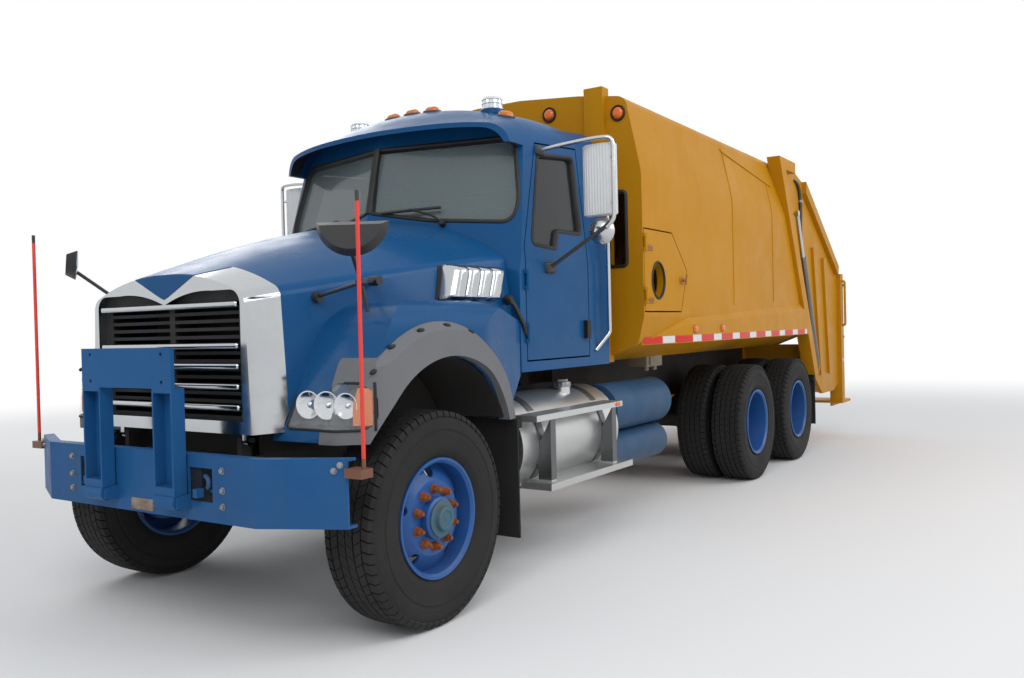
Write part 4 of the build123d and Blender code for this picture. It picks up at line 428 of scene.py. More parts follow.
hub_green = finish_on("hub_green", (0.03, 0.11, 0.16), 0.55, stain=0.7, stain_colour=(0.10, 0.06, 0.03), bump=0.3,
                      bump_scale=60, stain_scale=12)
front_cap = ((-0.004, 0.0), (-0.004, 0.092), (0.004, 0.092), (0.006, 0.084), (0.008, 0.062), (0.026, 0.058),
             (0.030, 0.052), (0.030, 0.040), (0.026, 0.037), (0.026, 0.012), (0.029, 0.010), (0.029, 0.0))
rear_cap = ((-0.006, 0.0), (-0.006, 0.066), (0.006, 0.066), (0.008, 0.060), (0.008, 0.050), (0.030, 0.046),
            (0.036, 0.038), (0.038, 0.020), (0.038, 0.0))
front_disc_x = 1.1185
front_hub_end_x = 1.172
rear_disc_x = 0.9405
rear_hub_end_x = 1.077
for side, sign in sides:
    wheel_nuts("nuts_front_" + side, sign * front_disc_x, sign, front_axle_y, side + "_front_wheel")
    hub_cap("hub_cap_front_" + side, sign * front_hub_end_x, sign, front_axle_y, side + "_front_wheel", front_cap)
    for number, axle_y in axle_places:
        body = side + "_duals_" + number
        wheel_nuts("nuts_rear_" + number + "_" + side, sign * rear_disc_x, sign, axle_y, body)
        hub_cap("hub_cap_rear_" + number + "_" + side, sign * rear_hub_end_x, sign, axle_y, body, rear_cap)

# Bumper and the folding bracket on its face: bent and welded plate under the same blue, chalked and scratched, with
# zinc bolts through the face and at its ends and a bare rusty plate holder.
bumper_blue = finish_on("bumper_blue", (0.007, 0.090, 0.255), 0.45, stain=0.4, stain_colour=(0.012, 0.06, 0.17),
                        dust=0.12, dust_top=1.5, bump=0.08, bump_scale=14, shine=0.15, streak=0.35,
                        streak_colour=(0.05, 0.07, 0.10),
                        # The zone is painted shade: near-black on the bumper round the tow hooks' holes, for the shadow
                        # inside them.
                        zones=(((0.34, front_axle_y - 0.843, 0.60), (0.60, front_axle_y - 0.60, 0.90),
                                (0.008, 0.012, 0.018)),))
tank_blue = finish_on("tank_blue", (0.006, 0.068, 0.165), 0.45, stain=0.5, stain_colour=(0.012, 0.042, 0.09), dust=0.35,
                      dust_top=1.5, bump=0.08, bump_scale=14, shine=0.15)
dress(bumper_blue, "front_bumper", "plow_bracket")
dress(tank_blue, "blue_tanks")
zinc = finish_on("zinc", (0.30, 0.32, 0.34), 0.45, metallic=0.8, stain=0.7, stain_colour=(0.14, 0.09, 0.06), bump=0.2,
                 stain_scale=30)


def stack(outline, rings, origin, across, along):
    """Rings of an outline (a, b) in the plane of across and along, lifted along their cross product.

    Ring i draws the outline in by the distance inset_i, as 1 - inset_i / half_size on each axis, at height_i."""
    outline = np.asarray(outline, float)
    across, along = (np.array(Vector(v).normalized()) for v in (across, along))
    lift = np.cross(across, along)
    middle = (outline.max(0) + outline.min(0)) / 2
    half = (outline.max(0) - outline.min(0)) / 2
    inset, height = np.asarray(rings, float).T
    drawn = middle + (outline - middle) * np.maximum(0, 1 - inset[:, None, None] / half)
    return (np.asarray(origin, float) + drawn[..., :1] * across + drawn[..., 1:] * along
            + height[:, None, None] * lift)


def round_outline(radius, corners=16, second=None):
    """A circle, or an ellipse where a second radius is given, as corners points."""
    angle = np.linspace(0, 2 * np.pi, corners, endpoint=False)
    return np.stack([radius * np.cos(angle), (second or radius) * np.sin(angle)], -1)


def soft_outline(half_a, half_b, radius, per=5):
    """A rectangle with rounded corners: corner centre plus radius (cos t, sin t), a quarter turn at each corner."""
    turn = np.linspace(0, np.pi / 2, per)
    angle = (turn[None] + np.pi / 2 * np.arange(4)[:, None]).reshape(-1)
    corner_a = np.repeat(np.array([1, -1, -1, 1]) * (half_a - radius), per)
    corner_b = np.repeat(np.array([1, 1, -1, -1]) * (half_b - radius), per)
    return np.stack([corner_a + radius * np.cos(angle), corner_b + radius * np.sin(angle)], -1)


def bolts(name, places, outward, size, material, body, slot):
    """Six-sided bolt heads on washers: each a stack of rings on its place, rising outward."""
    side_way = Vector(outward).orthogonal()
    upward = Vector(outward).cross(side_way)
    steps = [(size * 3, -0.002), (0, -0.002), (0, 0.12 * size), (0.28 * size, 0.16 * size), (0.30 * size, 0.62 * size),
             (0.42 * size, 0.72 * size), (size * 3, 0.74 * size)]
    heads = [stack(round_outline(size, 12), steps, place, side_way, upward) for place in places]
    return add_skins(name, heads, material, body, slot)


bumper_face_y = front_axle_y - 0.850
bolts("bumper_face_bolts", [(x, bumper_face_y, z) for x in (-0.590, 0.590) for z in (0.855, 0.765, 0.692)],
      (0, -1, 0), 0.017, zinc, "chassis", "chassis_steel")
bend_place = np.array([0.800, bumper_face_y])
bumper_end = np.array([1.180, front_axle_y - 0.670]) - bend_place
end_out = np.array([bumper_end[1], -bumper_end[0]]) / np.hypot(*bumper_end)
for side, sign in sides:
    places = []
    for share, z in ((0.86, 0.868), (0.93, 0.893)):
        spot = bend_place + share * bumper_end
        places.append((sign * spot[0], spot[1], z))
    bolts("bumper_end_bolts_" + side, places, (sign * end_out[0], end_out[1], 0), 0.015, zinc, "chassis",
          "chassis_steel")
plate_rust = finish_on("plate_rust", (0.17, 0.10, 0.06), 0.85, stain=0.9, stain_colour=(0.38, 0.36, 0.33), bump=0.4,
                       stain_scale=14)
facing_front = ((1, 0, 0), (0, 0, 1))
plate_rings = [(1, 0), (0, 0), (0, 0.004), (0.002, 0.005), (0.006, 0.003), (1, 0.003)]
add_skins("plate_holder", [stack(soft_outline(0.088, 0.028, 0.008), plate_rings, (0.0, bumper_face_y, 0.655),
                                 *facing_front)], plate_rust, "chassis", "chassis_steel")

# Marker poles: springy rods in fluorescent orange-red with black tips, on rusty steel brackets at the bumper's ends.
pole_red = finish_on("pole_red", (0.74, 0.040, 0.026), 0.45, stain=0.2, zones=(
    ((1.10, front_axle_y - 0.75, 0.83), (1.35, front_axle_y - 0.55, 0.925), (0.15, 0.06, 0.03)),
    ((1.10, front_axle_y - 0.75, 2.025), (1.35, front_axle_y - 0.55, 2.10), (0.02, 0.02, 0.02)),
))
dress(pole_red, "marker_poles")

# Grille: a chromed surround with rounded bars over a black moulded grid; the hood's blue dips into the middle of its
# brow as a pointed tongue. The maker's letters are left off.
chrome = finish_on("chrome", (0.52, 0.54, 0.56), 0.12, metallic=1.0, stain=0.35, stain_colour=(0.34, 0.36, 0.38),
                   dust=0.25, dust_colour=(0.28, 0.20, 0.12), dust_top=1.05)
dress(chrome, "grille_surround")
cab_blue = finish_on("cab_blue", (0.006, 0.073, 0.205), 0.30, stain=0.25, stain_colour=(0.010, 0.055, 0.14), dust=0.12,
                     dust_top=1.5, coat=0.08, shine=0.1)
grille_black = finish_on("grille_black", (0.016, 0.016, 0.017), 0.6, stain=0.3, bump=0.2, bump_scale=200, shine=0.3)
dress(grille_black, "grille")


def capped(skin):
    """A grid with both its end rows drawn together to their middles, so that the ends are closed."""
    skin = np.asarray(skin, float)
    ends = [np.broadcast_to(row.mean(0), row.shape)[None] for row in (skin[0], skin[-1])]
    return np.concatenate([ends[0], skin, ends[1]])


def carried(path, profile, upward):
    """A profile (s, t) carried along a path: path + s side + t lift.

    Side is the tangent crossed with upward, and lift is side crossed with the tangent."""
    path = np.asarray(path, float)
    tangent = np.gradient(path, axis=0)
    tangent /= np.linalg.norm(tangent, axis=1, keepdims=True)
    side_way = np.cross(tangent, np.asarray(upward, float))
    side_way /= np.linalg.norm(side_way, axis=1, keepdims=True)
    lift = np.cross(side_way, tangent)
    profile = np.asarray(profile, float)
    return path[:, None] + profile[None, :, :1] * side_way[:, None] + profile[None, :, 1:] * lift[:, None]


bar_profile = soft_outline(0.017, 0.015, 0.012, 4)
bar_reach = 0.535
bars = []
for z in (1.123, 1.222, 1.318, 1.415, 1.611):
    path = [(x, front_axle_y - 0.688, z) for x in (-bar_reach, -bar_reach + 0.006, bar_reach - 0.006, bar_reach)]
    bar = carried(path, bar_profile, (0, 0, 1))
    bar_ends = bar[[0, -1]]
    bar[[0, -1]] = bar_ends.mean(1, keepdims=True) + 0.6 * (bar_ends - bar_ends.mean(1, keepdims=True))
    bars.append(capped(bar))
add_skins("grille_bars", bars, chrome, "hood_body", "chrome", 40)


def laid(points, node, way, lift=0.0):
    """Points carried onto a CAD node's surface and raised off it by lift.

    They run along an axis where way is (axis letter, -1 or 1), or to the nearest place where way is None."""
    points = np.asarray(points, float)
    mesh = bpy.data.meshes.new("laid")
    mesh.from_pydata(points.reshape(-1, 3).tolist(), [], [])
    holder = bpy.data.objects.new("laid", mesh)
    bpy.context.scene.collection.objects.link(holder)
    wrap = holder.modifiers.new("wrap", "SHRINKWRAP")
    wrap.target = nodes[node]
    if way is None:
        wrap.wrap_method = "NEAREST_SURFACEPOINT"
        wrap.wrap_mode = "ABOVE_SURFACE"
        wrap.offset = lift
    else:
        wrap.wrap_method = "PROJECT"
        for letter in "xyz":
            setattr(wrap, "use_project_" + letter, letter == way[0])
        wrap.use_negative_direction = way[1] < 0
        wrap.use_positive_direction = way[1] > 0
    seen = holder.evaluated_get(bpy.context.evaluated_depsgraph_get())
    found = np.empty(points.size)
    seen.data.vertices.foreach_get("co", found)
    bpy.data.objects.remove(holder)
    bpy.data.meshes.remove(mesh)
    found = found.reshape(points.shape)
    if way is not None and lift:
        found = found + np.array([(letter == way[0]) * -way[1] * lift for letter in "xyz"])
    return found


def sheet(low, high):
    """A closed plate between two grids: their rows joined into loops, each end loop folded onto its middle line."""
    loop = np.concatenate([low, high[:, ::-1]], 1)
    ends = [(row + row[::-1])[None] / 2 for row in (loop[0], loop[-1])]
    return np.concatenate([ends[0], loop, ends[1]])


def slab(points, low, high, outward):
    """A closed plate on a grid: its points moved along their normals, the cross product of the grid's two slopes
    turned outward, by low on one side and high on the other."""
    points = np.asarray(points, float)
    normal = np.cross(np.gradient(points, axis=0), np.gradient(points, axis=1))
    normal /= np.maximum(np.linalg.norm(normal, axis=-1, keepdims=True), 1e-9)
    normal *= np.sign((normal * np.asarray(outward, float)).sum(-1, keepdims=True))
    return sheet(points + low * normal, points + high * normal)


tongue_u, tongue_v = np.meshgrid(np.linspace(-1, 1, 41), np.linspace(0, 1, 17), indexing="ij")
tongue_x = tongue_u * (0.30 - 0.07 * tongue_v)
tongue_top = laid(np.stack([tongue_x, front_axle_y - 0.524 - 0.1745 * tongue_v, 2.0 + 0 * tongue_v], -1),
                  "grille_surround", ("z", -1), 0.001)
edge_x, edge_z = tongue_top[:, -1, 0], tongue_top[:, -1, 2]
tongue_x = tongue_u * 0.23 * (1.0001 - tongue_v) ** 0.85
tongue_z = np.interp(tongue_x, edge_x, edge_z) - 0.003 - 0.120 * tongue_v
tongue_front = laid(np.stack([tongue_x, front_axle_y - 0.9 + 0 * tongue_v, tongue_z], -1), "grille_surround",
                    ("y", 1), 0.001)
tongue = np.concatenate([tongue_top, tongue_front], 1)
add_skins("hood_tongue", [slab(tongue, -0.003, 0.0015, (0, -0.5, 1))], cab_blue, "hood_body", "cab_paint", 40)

# Hood and fenders: one moulded shell under clear coat, held down by a black rubber latch on each rear corner. The
# animal on its nose is left off.
dress(cab_blue, "hood")
latch_rubber = finish_on("latch_rubber", (0.014, 0.014, 0.015), 0.6, stain=0.4, bump=0.3, shine=0.35)


def rounded_path(points, rounds=3):
    """A path with its corners cut: each round puts points a quarter and three quarters along every run."""
    path = np.asarray(points, float)
    for _ in range(rounds):
        near = 0.75 * path[:-1] + 0.25 * path[1:]
        far = 0.25 * path[:-1] + 0.75 * path[1:]
        path = np.concatenate([path[:1], np.stack([near, far], 1).reshape(-1, 3), path[-1:]])
    return path


def tube(points, radius, upward=(0, 0, 1), corners=12, rounds=3):
    """A round bar along a corner-cut path, closed at both ends."""
    return capped(carried(rounded_path(points, rounds), round_outline(radius, corners), upward))


def across_truck(skins, sign):
    """The same grids on the other side of the truck where sign is -1: x changes sign."""
    return [np.asarray(skin) * (sign, 1, 1) for skin in skins]


def raised(sunk, side, inset, top):
    """Rings of a plain raised piece: from sunk below its seat upright to side, then in by inset at top, closed."""
    return [(1, -sunk), (0, -sunk), (0, side), (inset, top), (1, top)]


def add_both(name, skins, material, body, slot, smooth_angle=35, wrap_u=False):
    """One piece on each side of the truck; a * in its body's name stands for the side."""
    for side, sign in sides:
        add_skins(name + "_" + side, across_truck(skins, sign), material, body.replace("*", side), slot, smooth_angle,
                  wrap_u)


def from_axle(points):
    """Points given with y from the front axle, in the truck's own coordinates."""
    return np.add(points, (0, front_axle_y, 0))


latch_path = from_axle([(1.004, 0.915, 1.632), (1.020, 0.935, 1.605), (1.026, 0.985, 1.535), (1.030, 1.030, 1.470),
                        (1.020, 1.052, 1.440)])
latch_skins = [capped(carried(rounded_path(latch_path), soft_outline(0.014, 0.009, 0.006, 3), (1, 0, 0)))]
for spot, size in ((latch_path[0], 0.026), (latch_path[-1], 0.024)):
    latch_skins.append(stack(soft_outline(size, size * 0.8, 0.008, 3), raised(0.03, 0.008, 0.004, 0.014),
                             spot, (0, 0.6, -0.8), (0, 0.8, 0.6)))
add_both("hood_latch", latch_skins, latch_rubber, "hood_body", "flare_plastic")

# Headlamps: a grey moulded tray with two bowls side by side, a third further out and an amber reflector round the
# corner, under one clear polycarbonate lens in a black gasket.
lamp_grey = finish_on("lamp_grey", (0.055, 0.058, 0.062), 0.45, stain=0.2, bump=0.1, bump_scale=120)
lamp_bowl = finish_on("lamp_bowl", (0.66, 0.68, 0.70), 0.12, metallic=1.0, stain=0.1)
lamp_amber = finish_on("lamp_amber", (0.62, 0.15, 0.004), 0.25, stain=0.15, coat=0.3, bump=0.6, bump_scale=90)


def hazy_glass(name, colour, alpha, haze_scale, haze_low, haze_high, shine=0.5):
    """A clear sheet of one tint whose roughness wanders from haze_low to haze_high, as a film of dust makes it."""
    material = bpy.data.materials.new(name)
    material.use_nodes = True
    tree = material.node_tree
    shader = tree.nodes["Principled BSDF"]
    shader.inputs["Base Color"].default_value = (*colour, 1)
    shader.inputs["Alpha"].default_value = alpha
    shader.inputs["Specular IOR Level"].default_value = shine
    film = add_node(tree, "TexNoise", {"Scale": haze_scale, "Vector": add_node(tree, "TexCoord").outputs["Object"]})
    gloss = add_node(tree, "MapRange", {"Value": film.outputs["Fac"], "To Min": haze_low, "To Max": haze_high})
    tree.links.new(gloss.outputs["Result"], shader.inputs["Roughness"])
    return material


clear_lens = hazy_glass("clear_lens", (0.80, 0.83, 0.85), 0.07, 6, 0.03, 0.16, 0.3)
lamp_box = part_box("headlamps")
lamp_low_z = lamp_box[0][2] + 0.004
lamp_high_z = lamp_box[1][2] - 0.004
lamp_u, lamp_v = np.meshgrid(np.linspace(0, 1, 41), np.linspace(0, 1, 21), indexing="ij")
lamp_inner_x = 0.684 + 0.012 * lamp_v
lamp_x = lamp_inner_x + (lamp_box[1][0] - 0.008 - lamp_inner_x) * lamp_u
lamp_z = lamp_low_z + (lamp_high_z - lamp_low_z) * lamp_v
clear_of_nose_y = front_axle_y - 1.2
lamp_front = laid(np.stack([lamp_x, np.full_like(lamp_x, clear_of_nose_y), lamp_z], -1), "headlamps", ("y", 1))
missed = lamp_front[..., 1] < clear_of_nose_y + 0.2
lamp_front[..., 1] = np.where(missed, lamp_front[..., 1][~missed].max(), lamp_front[..., 1])
from_edge = np.minimum(np.minimum(lamp_u, 1 - lamp_u) / 0.05, np.minimum(lamp_v, 1 - lamp_v) / 0.10).clip(0, 1)
tray = lamp_front + np.stack([0 * from_edge, 0.003 + 0.045 * from_edge ** 0.7, 0 * from_edge], -1)


def bowl_skin(centre, radius, depth):
    """A reflector bowl facing the nose: r from the bulb out, depth (1 - (r / radius)^2), with a rolled rim."""
    share = np.array([0.0001, 0.12, 0.25, 0.45, 0.65, 0.85, 0.97, 1.03, 1.08, 1.08, 0.5, 0.0001])
    height = np.array([-1.0, -0.98, -0.94, -0.80, -0.58, -0.28, -0.04, 0.04, 0.0, -0.10, -1.15, -1.2]) * depth
    rings = np.stack([radius - share * radius, height], -1)
    return stack(round_outline(radius, 28), rings, centre, (0.975, 0.222, 0), (0, 0, 1))


def bulb_skin(centre, radius, reach):
    """A bulb's dome: rings r = radius cos t at reach sin t."""
    turn = np.linspace(0, np.pi / 2, 6)
    rings = [(0.0, -0.01)] + [(radius - radius * math.cos(t), reach * math.sin(t)) for t in turn]
    return stack(round_outline(radius, 14), rings, centre, (0.975, 0.222, 0), (0, 0, 1))


reflectors = []
bulbs = []
for x, z, radius in ((0.772, 1.128, 0.062), (0.890, 1.128, 0.062), (1.025, 1.130, 0.056)):
    column = np.abs(lamp_x[:, 10] - x).argmin()
    front_y = lamp_front[column, 10, 1]
    reflectors.append(bowl_skin((x, front_y + 0.008, z), radius, 0.016))
    bulbs.append(bulb_skin((x, front_y + 0.022, z), radius * 0.24, 0.012))
outer_part = lamp_front[33:40, 2:19]
amber = sheet(outer_part + (0, 0.040, 0), outer_part + (0, 0.006, 0))
lens = sheet(lamp_front + (0, 0.0005, 0), lamp_front - (0, 0.0025, 0))
rim = np.concatenate([lamp_front[:, 0], lamp_front[-1, 1:], lamp_front[-2::-1, -1], lamp_front[0, -2::-1]])
gasket = capped(carried(rim, soft_outline(0.006, 0.006, 0.003, 3), (0, -1, 0.02)))
for side, sign in sides:
    tray_piece = add_skins("lamp_tray_" + side, across_truck([sheet(tray + (0, 0.006, 0), tray)], sign), lamp_grey,
                           "hood_body", "lamp_plastic", 50)
    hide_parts("headlamps")
    for name, skins, material, slot, smooth_angle in (
            ("lamp_bowls_", reflectors, lamp_bowl, "chrome", 60), ("lamp_bulbs_", bulbs, lamp_bowl, "chrome", 60),
            ("lamp_amber_", [amber], lamp_amber, "lamp_plastic", 40), ("lamp_lens_", [lens], clear_lens, "glass", 50),
            ("lamp_gasket_", [gasket], latch_rubber, "flare_plastic", 50)):
        add_skins(name + side, across_truck(skins, sign), material, "hood_body", slot, smooth_angle)

# Arch flares: grey moulded plastic bands over the wheel arches, fixed by dark clips along their upper edge.
flare_grey = finish_on("flare_grey", (0.150, 0.155, 0.165), 0.62, stain=0.25, stain_colour=(0.10, 0.10, 0.105),
                       dust=0.25, dust_top=1.4, bump=0.15, bump_scale=300, shine=0.3)
dress(flare_grey, "fender_flares")
clip_places = from_axle([(1.175, -0.500, 1.300), (1.175, -0.335, 1.418), (1.175, -0.125, 1.478),
                         (1.175, 0.085, 1.500), (1.175, 0.300, 1.468)])
clip_seats = laid(clip_places, "fender_flares", None)
clip_skins = [stack(round_outline(0.026, 14, 0.011), [(1, -0.006), (0, -0.006), (0, 0.004), (0.004, 0.009), (1, 0.010)],
                    seat, (0, 1, 0.25 - 0.5 * index / 4), (-0.7, 0, 0.7))
              for index, seat in enumerate(clip_seats)]
add_both("flare_clips", clip_skins, latch_rubber, "hood_body", "flare_plastic")

# Hood vents: four chromed cowls each side, leaning back over a black sheet on the hood's flank that is painted shade
# for the gaps between them.
vent_low_z, vent_high_z = 1.632, 1.826
vent_plan = np.array([(0.000, 0.006), (0.50, 0.000), (0.78, 0.010), (0.93, 0.026), (1.00, 0.050), (0.99, 0.080),
                      (0.93, 0.092), (0.89, 0.090), (0.93, 0.076), (0.93, 0.052), (0.86, 0.034), (0.72, 0.022),
                      (0.50, 0.012), (0.000, 0.018)])
vent_rows = np.linspace(0, 1, 15)
vent_cowls = []
for number in range(4):
    root_x = 0.856 + 0.020 * number
    start_y = front_axle_y + 0.420 + 0.118 * number
    swell = np.sqrt(np.clip(1 - (np.clip(vent_rows - 0.82, 0, 1) / 0.20) ** 2, 0, 1))
    swell = swell * np.sqrt(np.clip(1 - (np.clip(0.05 - vent_rows, 0, 1) / 0.07) ** 2, 0, 1))
    reach = (0.992 - root_x) * swell
    x = root_x + reach[:, None] * vent_plan[None, :, 0]
    y = start_y + vent_plan[None, :, 1] * (1.12 - 0.1 * number / 4) + 0.065 * (vent_rows[:, None] - 0.5)
    z = np.broadcast_to((vent_low_z + (vent_high_z - vent_low_z) * vent_rows)[:, None], x.shape)
    vent_cowls.append(capped(np.stack([x, y, z], -1)))
# Painted shade: a black sheet laid on the hood under the cowls, standing for the shadow in the gaps between them.
vent_u, vent_v = np.meshgrid(np.linspace(0, 1, 21), np.linspace(0, 1, 9), indexing="ij")
vent_shade_grid = np.stack([np.full_like(vent_u, 1.2), front_axle_y + 0.405 + 0.475 * vent_u + 0.06 * (vent_v - 0.5),
                      vent_low_z + 0.006 + (vent_high_z - vent_low_z - 0.012) * vent_v], -1)
vent_shade_grid = laid(vent_shade_grid, "hood", ("x", -1))
for side, sign in sides:
    cowls = add_skins("vent_cowls_" + side, across_truck(vent_cowls, sign), chrome, "hood_body", "chrome", 50)
    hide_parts("hood_vents")
    add_skins("vent_shade_sheet_" + side, across_truck([slab(vent_shade_grid, -0.003, 0.004, (1, 0, 0))], sign), grille_black,
              "hood_body", "flare_plastic")

# Half-moon mirrors on the hood: black moulded bowls on painted steel arms, with silvered glass towards the driver.
mirror_black = finish_on("mirror_black", (0.022, 0.022, 0.024), 0.42, stain=0.25, bump=0.15, bump_scale=220, shine=0.4)
dress(mirror_black, "cowl_mirrors")
silvered = finish_on("silvered", (0.50, 0.54, 0.57), 0.03, metallic=1.0, stain=0.05)
half_turn = np.linspace(np.pi, 2 * np.pi, 25)
moon_outline = np.concatenate([np.stack([0.155 * np.cos(half_turn), 0.147 * np.sin(half_turn) - 0.002], -1),
                               np.array([[0.10, -0.004], [0.0, -0.004], [-0.10, -0.004]])])
moon_face = stack(moon_outline, [(1, -0.002), (0, -0.002), (0, 0.003), (0.004, 0.005), (1, 0.012)],
                  (1.085, front_axle_y - 0.492, 1.965), (-1, -0.6, 0), (-0.06, 0.1, 1.36))
add_both("moon_glass", [moon_face], silvered, "hood_body", "chrome", 40)

# Cab shell and doors: welded steel under the same blue, with black handles, and the visor's underside painted
# near-black as shade. The door marks are left off.
cab_shell_blue = finish_on("cab_shell_blue", (0.006, 0.073, 0.205), 0.32, stain=0.25, stain_colour=(0.010, 0.055, 0.14),
                           dust=0.15, dust_top=1.6, coat=0.08, shine=0.1,
                           # The downward zone is painted shade: near-black on the visor's downward faces, where its
                           # shadow falls.
                           zones=(((-0.1, front_axle_y + 0.50, 2.45), (1.06, front_axle_y + 1.12, 2.95),
                                   (0.028, 0.032, 0.038), "downward"),))
door_blue = finish_on("door_blue", (0.006, 0.070, 0.195), 0.34, stain=0.3, stain_colour=(0.010, 0.050, 0.13),
                      dust=0.2, dust_top=1.6, coat=0.06, shine=0.1,
                      zones=(((1.022, front_axle_y + 1.75, 1.37), (1.08, front_axle_y + 1.85, 1.52),
                              (0.012, 0.012, 0.013)),))
dress(cab_shell_blue, "cab_shell")
dress(door_blue, "door_left", "door_right")

# Windshield: two flat laminated panes in one black rubber gasket, with a dark strip over the joint between them.
dress(hazy_glass("windshield_glass", (0.165, 0.205, 0.21), 0.55, 3, 0.05, 0.11), "cab_glass")
dress(hazy_glass("door_glass", (0.020, 0.024, 0.026), 0.62, 3, 0.05, 0.11), "door_glass_left", "door_glass_right")
seal_rubber = finish_on("seal_rubber", (0.013, 0.013, 0.014), 0.55, stain=0.3, bump=0.1, bump_scale=150, shine=0.35)
glass_yaw = math.radians(16)
glass_rake = math.radians(14.2)
glass_out = np.array([math.sin(glass_yaw) * math.cos(glass_rake), -math.cos(glass_yaw) * math.cos(glass_rake),
                      math.sin(glass_rake)])
glass_across = np.array([math.cos(glass_yaw), math.sin(glass_yaw), 0])
glass_upward = np.cross(glass_out, glass_across)
glass_foot = np.array([0, front_axle_y + 0.824, 2.244])


def rounded_loop(corners, per=7):
    """A closed outline from corners (a, b, radius): each corner is a curve from its tangent points round its tip."""
    corners = np.asarray(corners, float)
    tip = corners[:, :2]
    back = np.roll(tip, 1, 0) - tip
    ahead_way = np.roll(tip, -1, 0) - tip
    back_length = np.linalg.norm(back, axis=1, keepdims=True)
    ahead_length = np.linalg.norm(ahead_way, axis=1, keepdims=True)
    turn = np.pi - np.arccos(np.clip((back * ahead_way).sum(1, keepdims=True) / back_length / ahead_length, -1, 1))
    reach = np.minimum(corners[:, 2:] * np.tan(turn / 2) + 1e-5, 0.49 * np.minimum(back_length, ahead_length))
    start = (tip + back / back_length * reach)[:, None]
    end = (tip + ahead_way / ahead_length * reach)[:, None]
    share = np.linspace(0, 1, per)[None, :, None]
    curve = (1 - share) ** 2 * start + 2 * share * (1 - share) * tip[:, None] + share ** 2 * end
    return curve.reshape(-1, 2)


def even_loop(loop, count):
    """The same closed outline at count evenly spaced points."""
    closed = np.concatenate([loop, loop[:1]])
    far = np.concatenate([[0], np.cumsum(np.linalg.norm(np.diff(closed, axis=0), axis=1))])
    wanted = np.linspace(0, far[-1], count, endpoint=False)
    return np.stack([np.interp(wanted, far, closed[:, 0]), np.interp(wanted, far, closed[:, 1])], -1)


def loop_normals(loop):
    """Outward unit normals of a closed outline, drawn either way round."""
    along = np.roll(loop, -1, 0) - np.roll(loop, 1, 0)
    along /= np.linalg.norm(along, axis=1, keepdims=True)
    normal = np.stack([along[:, 1], -along[:, 0]], -1)
    area = (loop[:, 0] * np.roll(loop[:, 1], -1) - np.roll(loop[:, 0], -1) * loop[:, 1]).sum()
    return normal * np.sign(area)


def beaded_loop(loop, profile, origin, across, along):
    """A seal's profile (out, height) carried round a closed outline (a, b) in a plane."""
    across, along = np.asarray(across, float), np.asarray(along, float)
    lift = np.cross(across, along)
    profile = np.asarray(profile, float)
    spread_out = loop[:, None] + loop_normals(loop)[:, None] * profile[None, :, :1]
    return (np.asarray(origin, float) + spread_out[..., :1] * across + spread_out[..., 1:] * along
            + profile[None, :, 1:] * lift)


pane_corners = [(0.024, -0.020, 0.004), (0.420, -0.090, 0.3), (0.960, -0.132, 0.080), (0.998, 0.0, 0.300),
                (0.948, 0.412, 0.090), (0.024, 0.400, 0.004)]
pane_loop = even_loop(rounded_loop(pane_corners), 160)
seal_profile = [(-0.012, -0.026), (-0.012, -0.018), (-0.006, -0.012), (-0.004, 0.003), (0.004, 0.008), (0.014, 0.007),
                (0.020, 0.001), (0.020, -0.004), (0.004, -0.006), (0.004, -0.026)]
seal_skin = beaded_loop(pane_loop, seal_profile, glass_foot, glass_across, glass_upward)
add_both("windshield_seal", [seal_skin], seal_rubber, "chassis", "flare_plastic", 50, wrap_u=True)
middle_path = (glass_foot + np.array([[-0.028], [0.191], [0.410]]) * glass_upward) * (0, 1, 1)
middle_profile = [(-0.024, -0.004), (-0.022, 0.006), (-0.012, 0.012), (0.012, 0.012), (0.022, 0.006), (0.024, -0.004)]
add_skins("windshield_divider", [capped(carried(middle_path, middle_profile, (0, -1, 0)))], seal_rubber, "chassis",
          "flare_plastic", 50)


def on_pane(a, b, height):
    """A point of the driver's pane from its distances across and up, lifted by a height."""
    return tuple(glass_foot + a * glass_across + b * glass_upward + height * glass_out)


def wiper(pivot, elbow, joint, blade_start, blade_end):
    """A wiper: pivot cap, tapering arm and a long blade of rubber under a thin backbone, all on one pane."""
    arm = [on_pane(*pivot, 0.012), on_pane(*pivot, 0.040), on_pane(*elbow, 0.046), on_pane(*joint, 0.036)]
    blade_middle = np.add(blade_start, blade_end) / 2
    blade = [on_pane(*blade_start, 0.008), on_pane(*blade_middle, 0.012), on_pane(*blade_end, 0.008)]
    back = [np.add(p, 0.012 * glass_out) for p in blade]
    return [tube(arm, 0.007, (0.2, 0.1, 1)),
            stack(round_outline(0.020, 16), [(1, -0.012), (0, -0.012), (0, 0.030), (0.006, 0.040), (1, 0.042)],
                  on_pane(*pivot, 0.0), glass_across, glass_upward),
            capped(carried(rounded_path(blade, 2), soft_outline(0.004, 0.008, 0.002, 3), glass_out)),
            capped(carried(rounded_path(back, 2), soft_outline(0.007, 0.003, 0.002, 3), glass_out))]


near_wiper = wiper((0.520, -0.128), (0.470, -0.085), (0.300, -0.030), (0.100, -0.038), (0.500, -0.022))
far_wiper = wiper((0.350, -0.105), (0.400, -0.075), (0.560, -0.050), (0.350, -0.045), (0.760, -0.070))
add_skins("wiper_left", near_wiper, seal_rubber, "chassis", "flare_plastic", 50)
add_skins("wiper_right", across_truck(far_wiper, -1), seal_rubber, "chassis", "flare_plastic", 50)

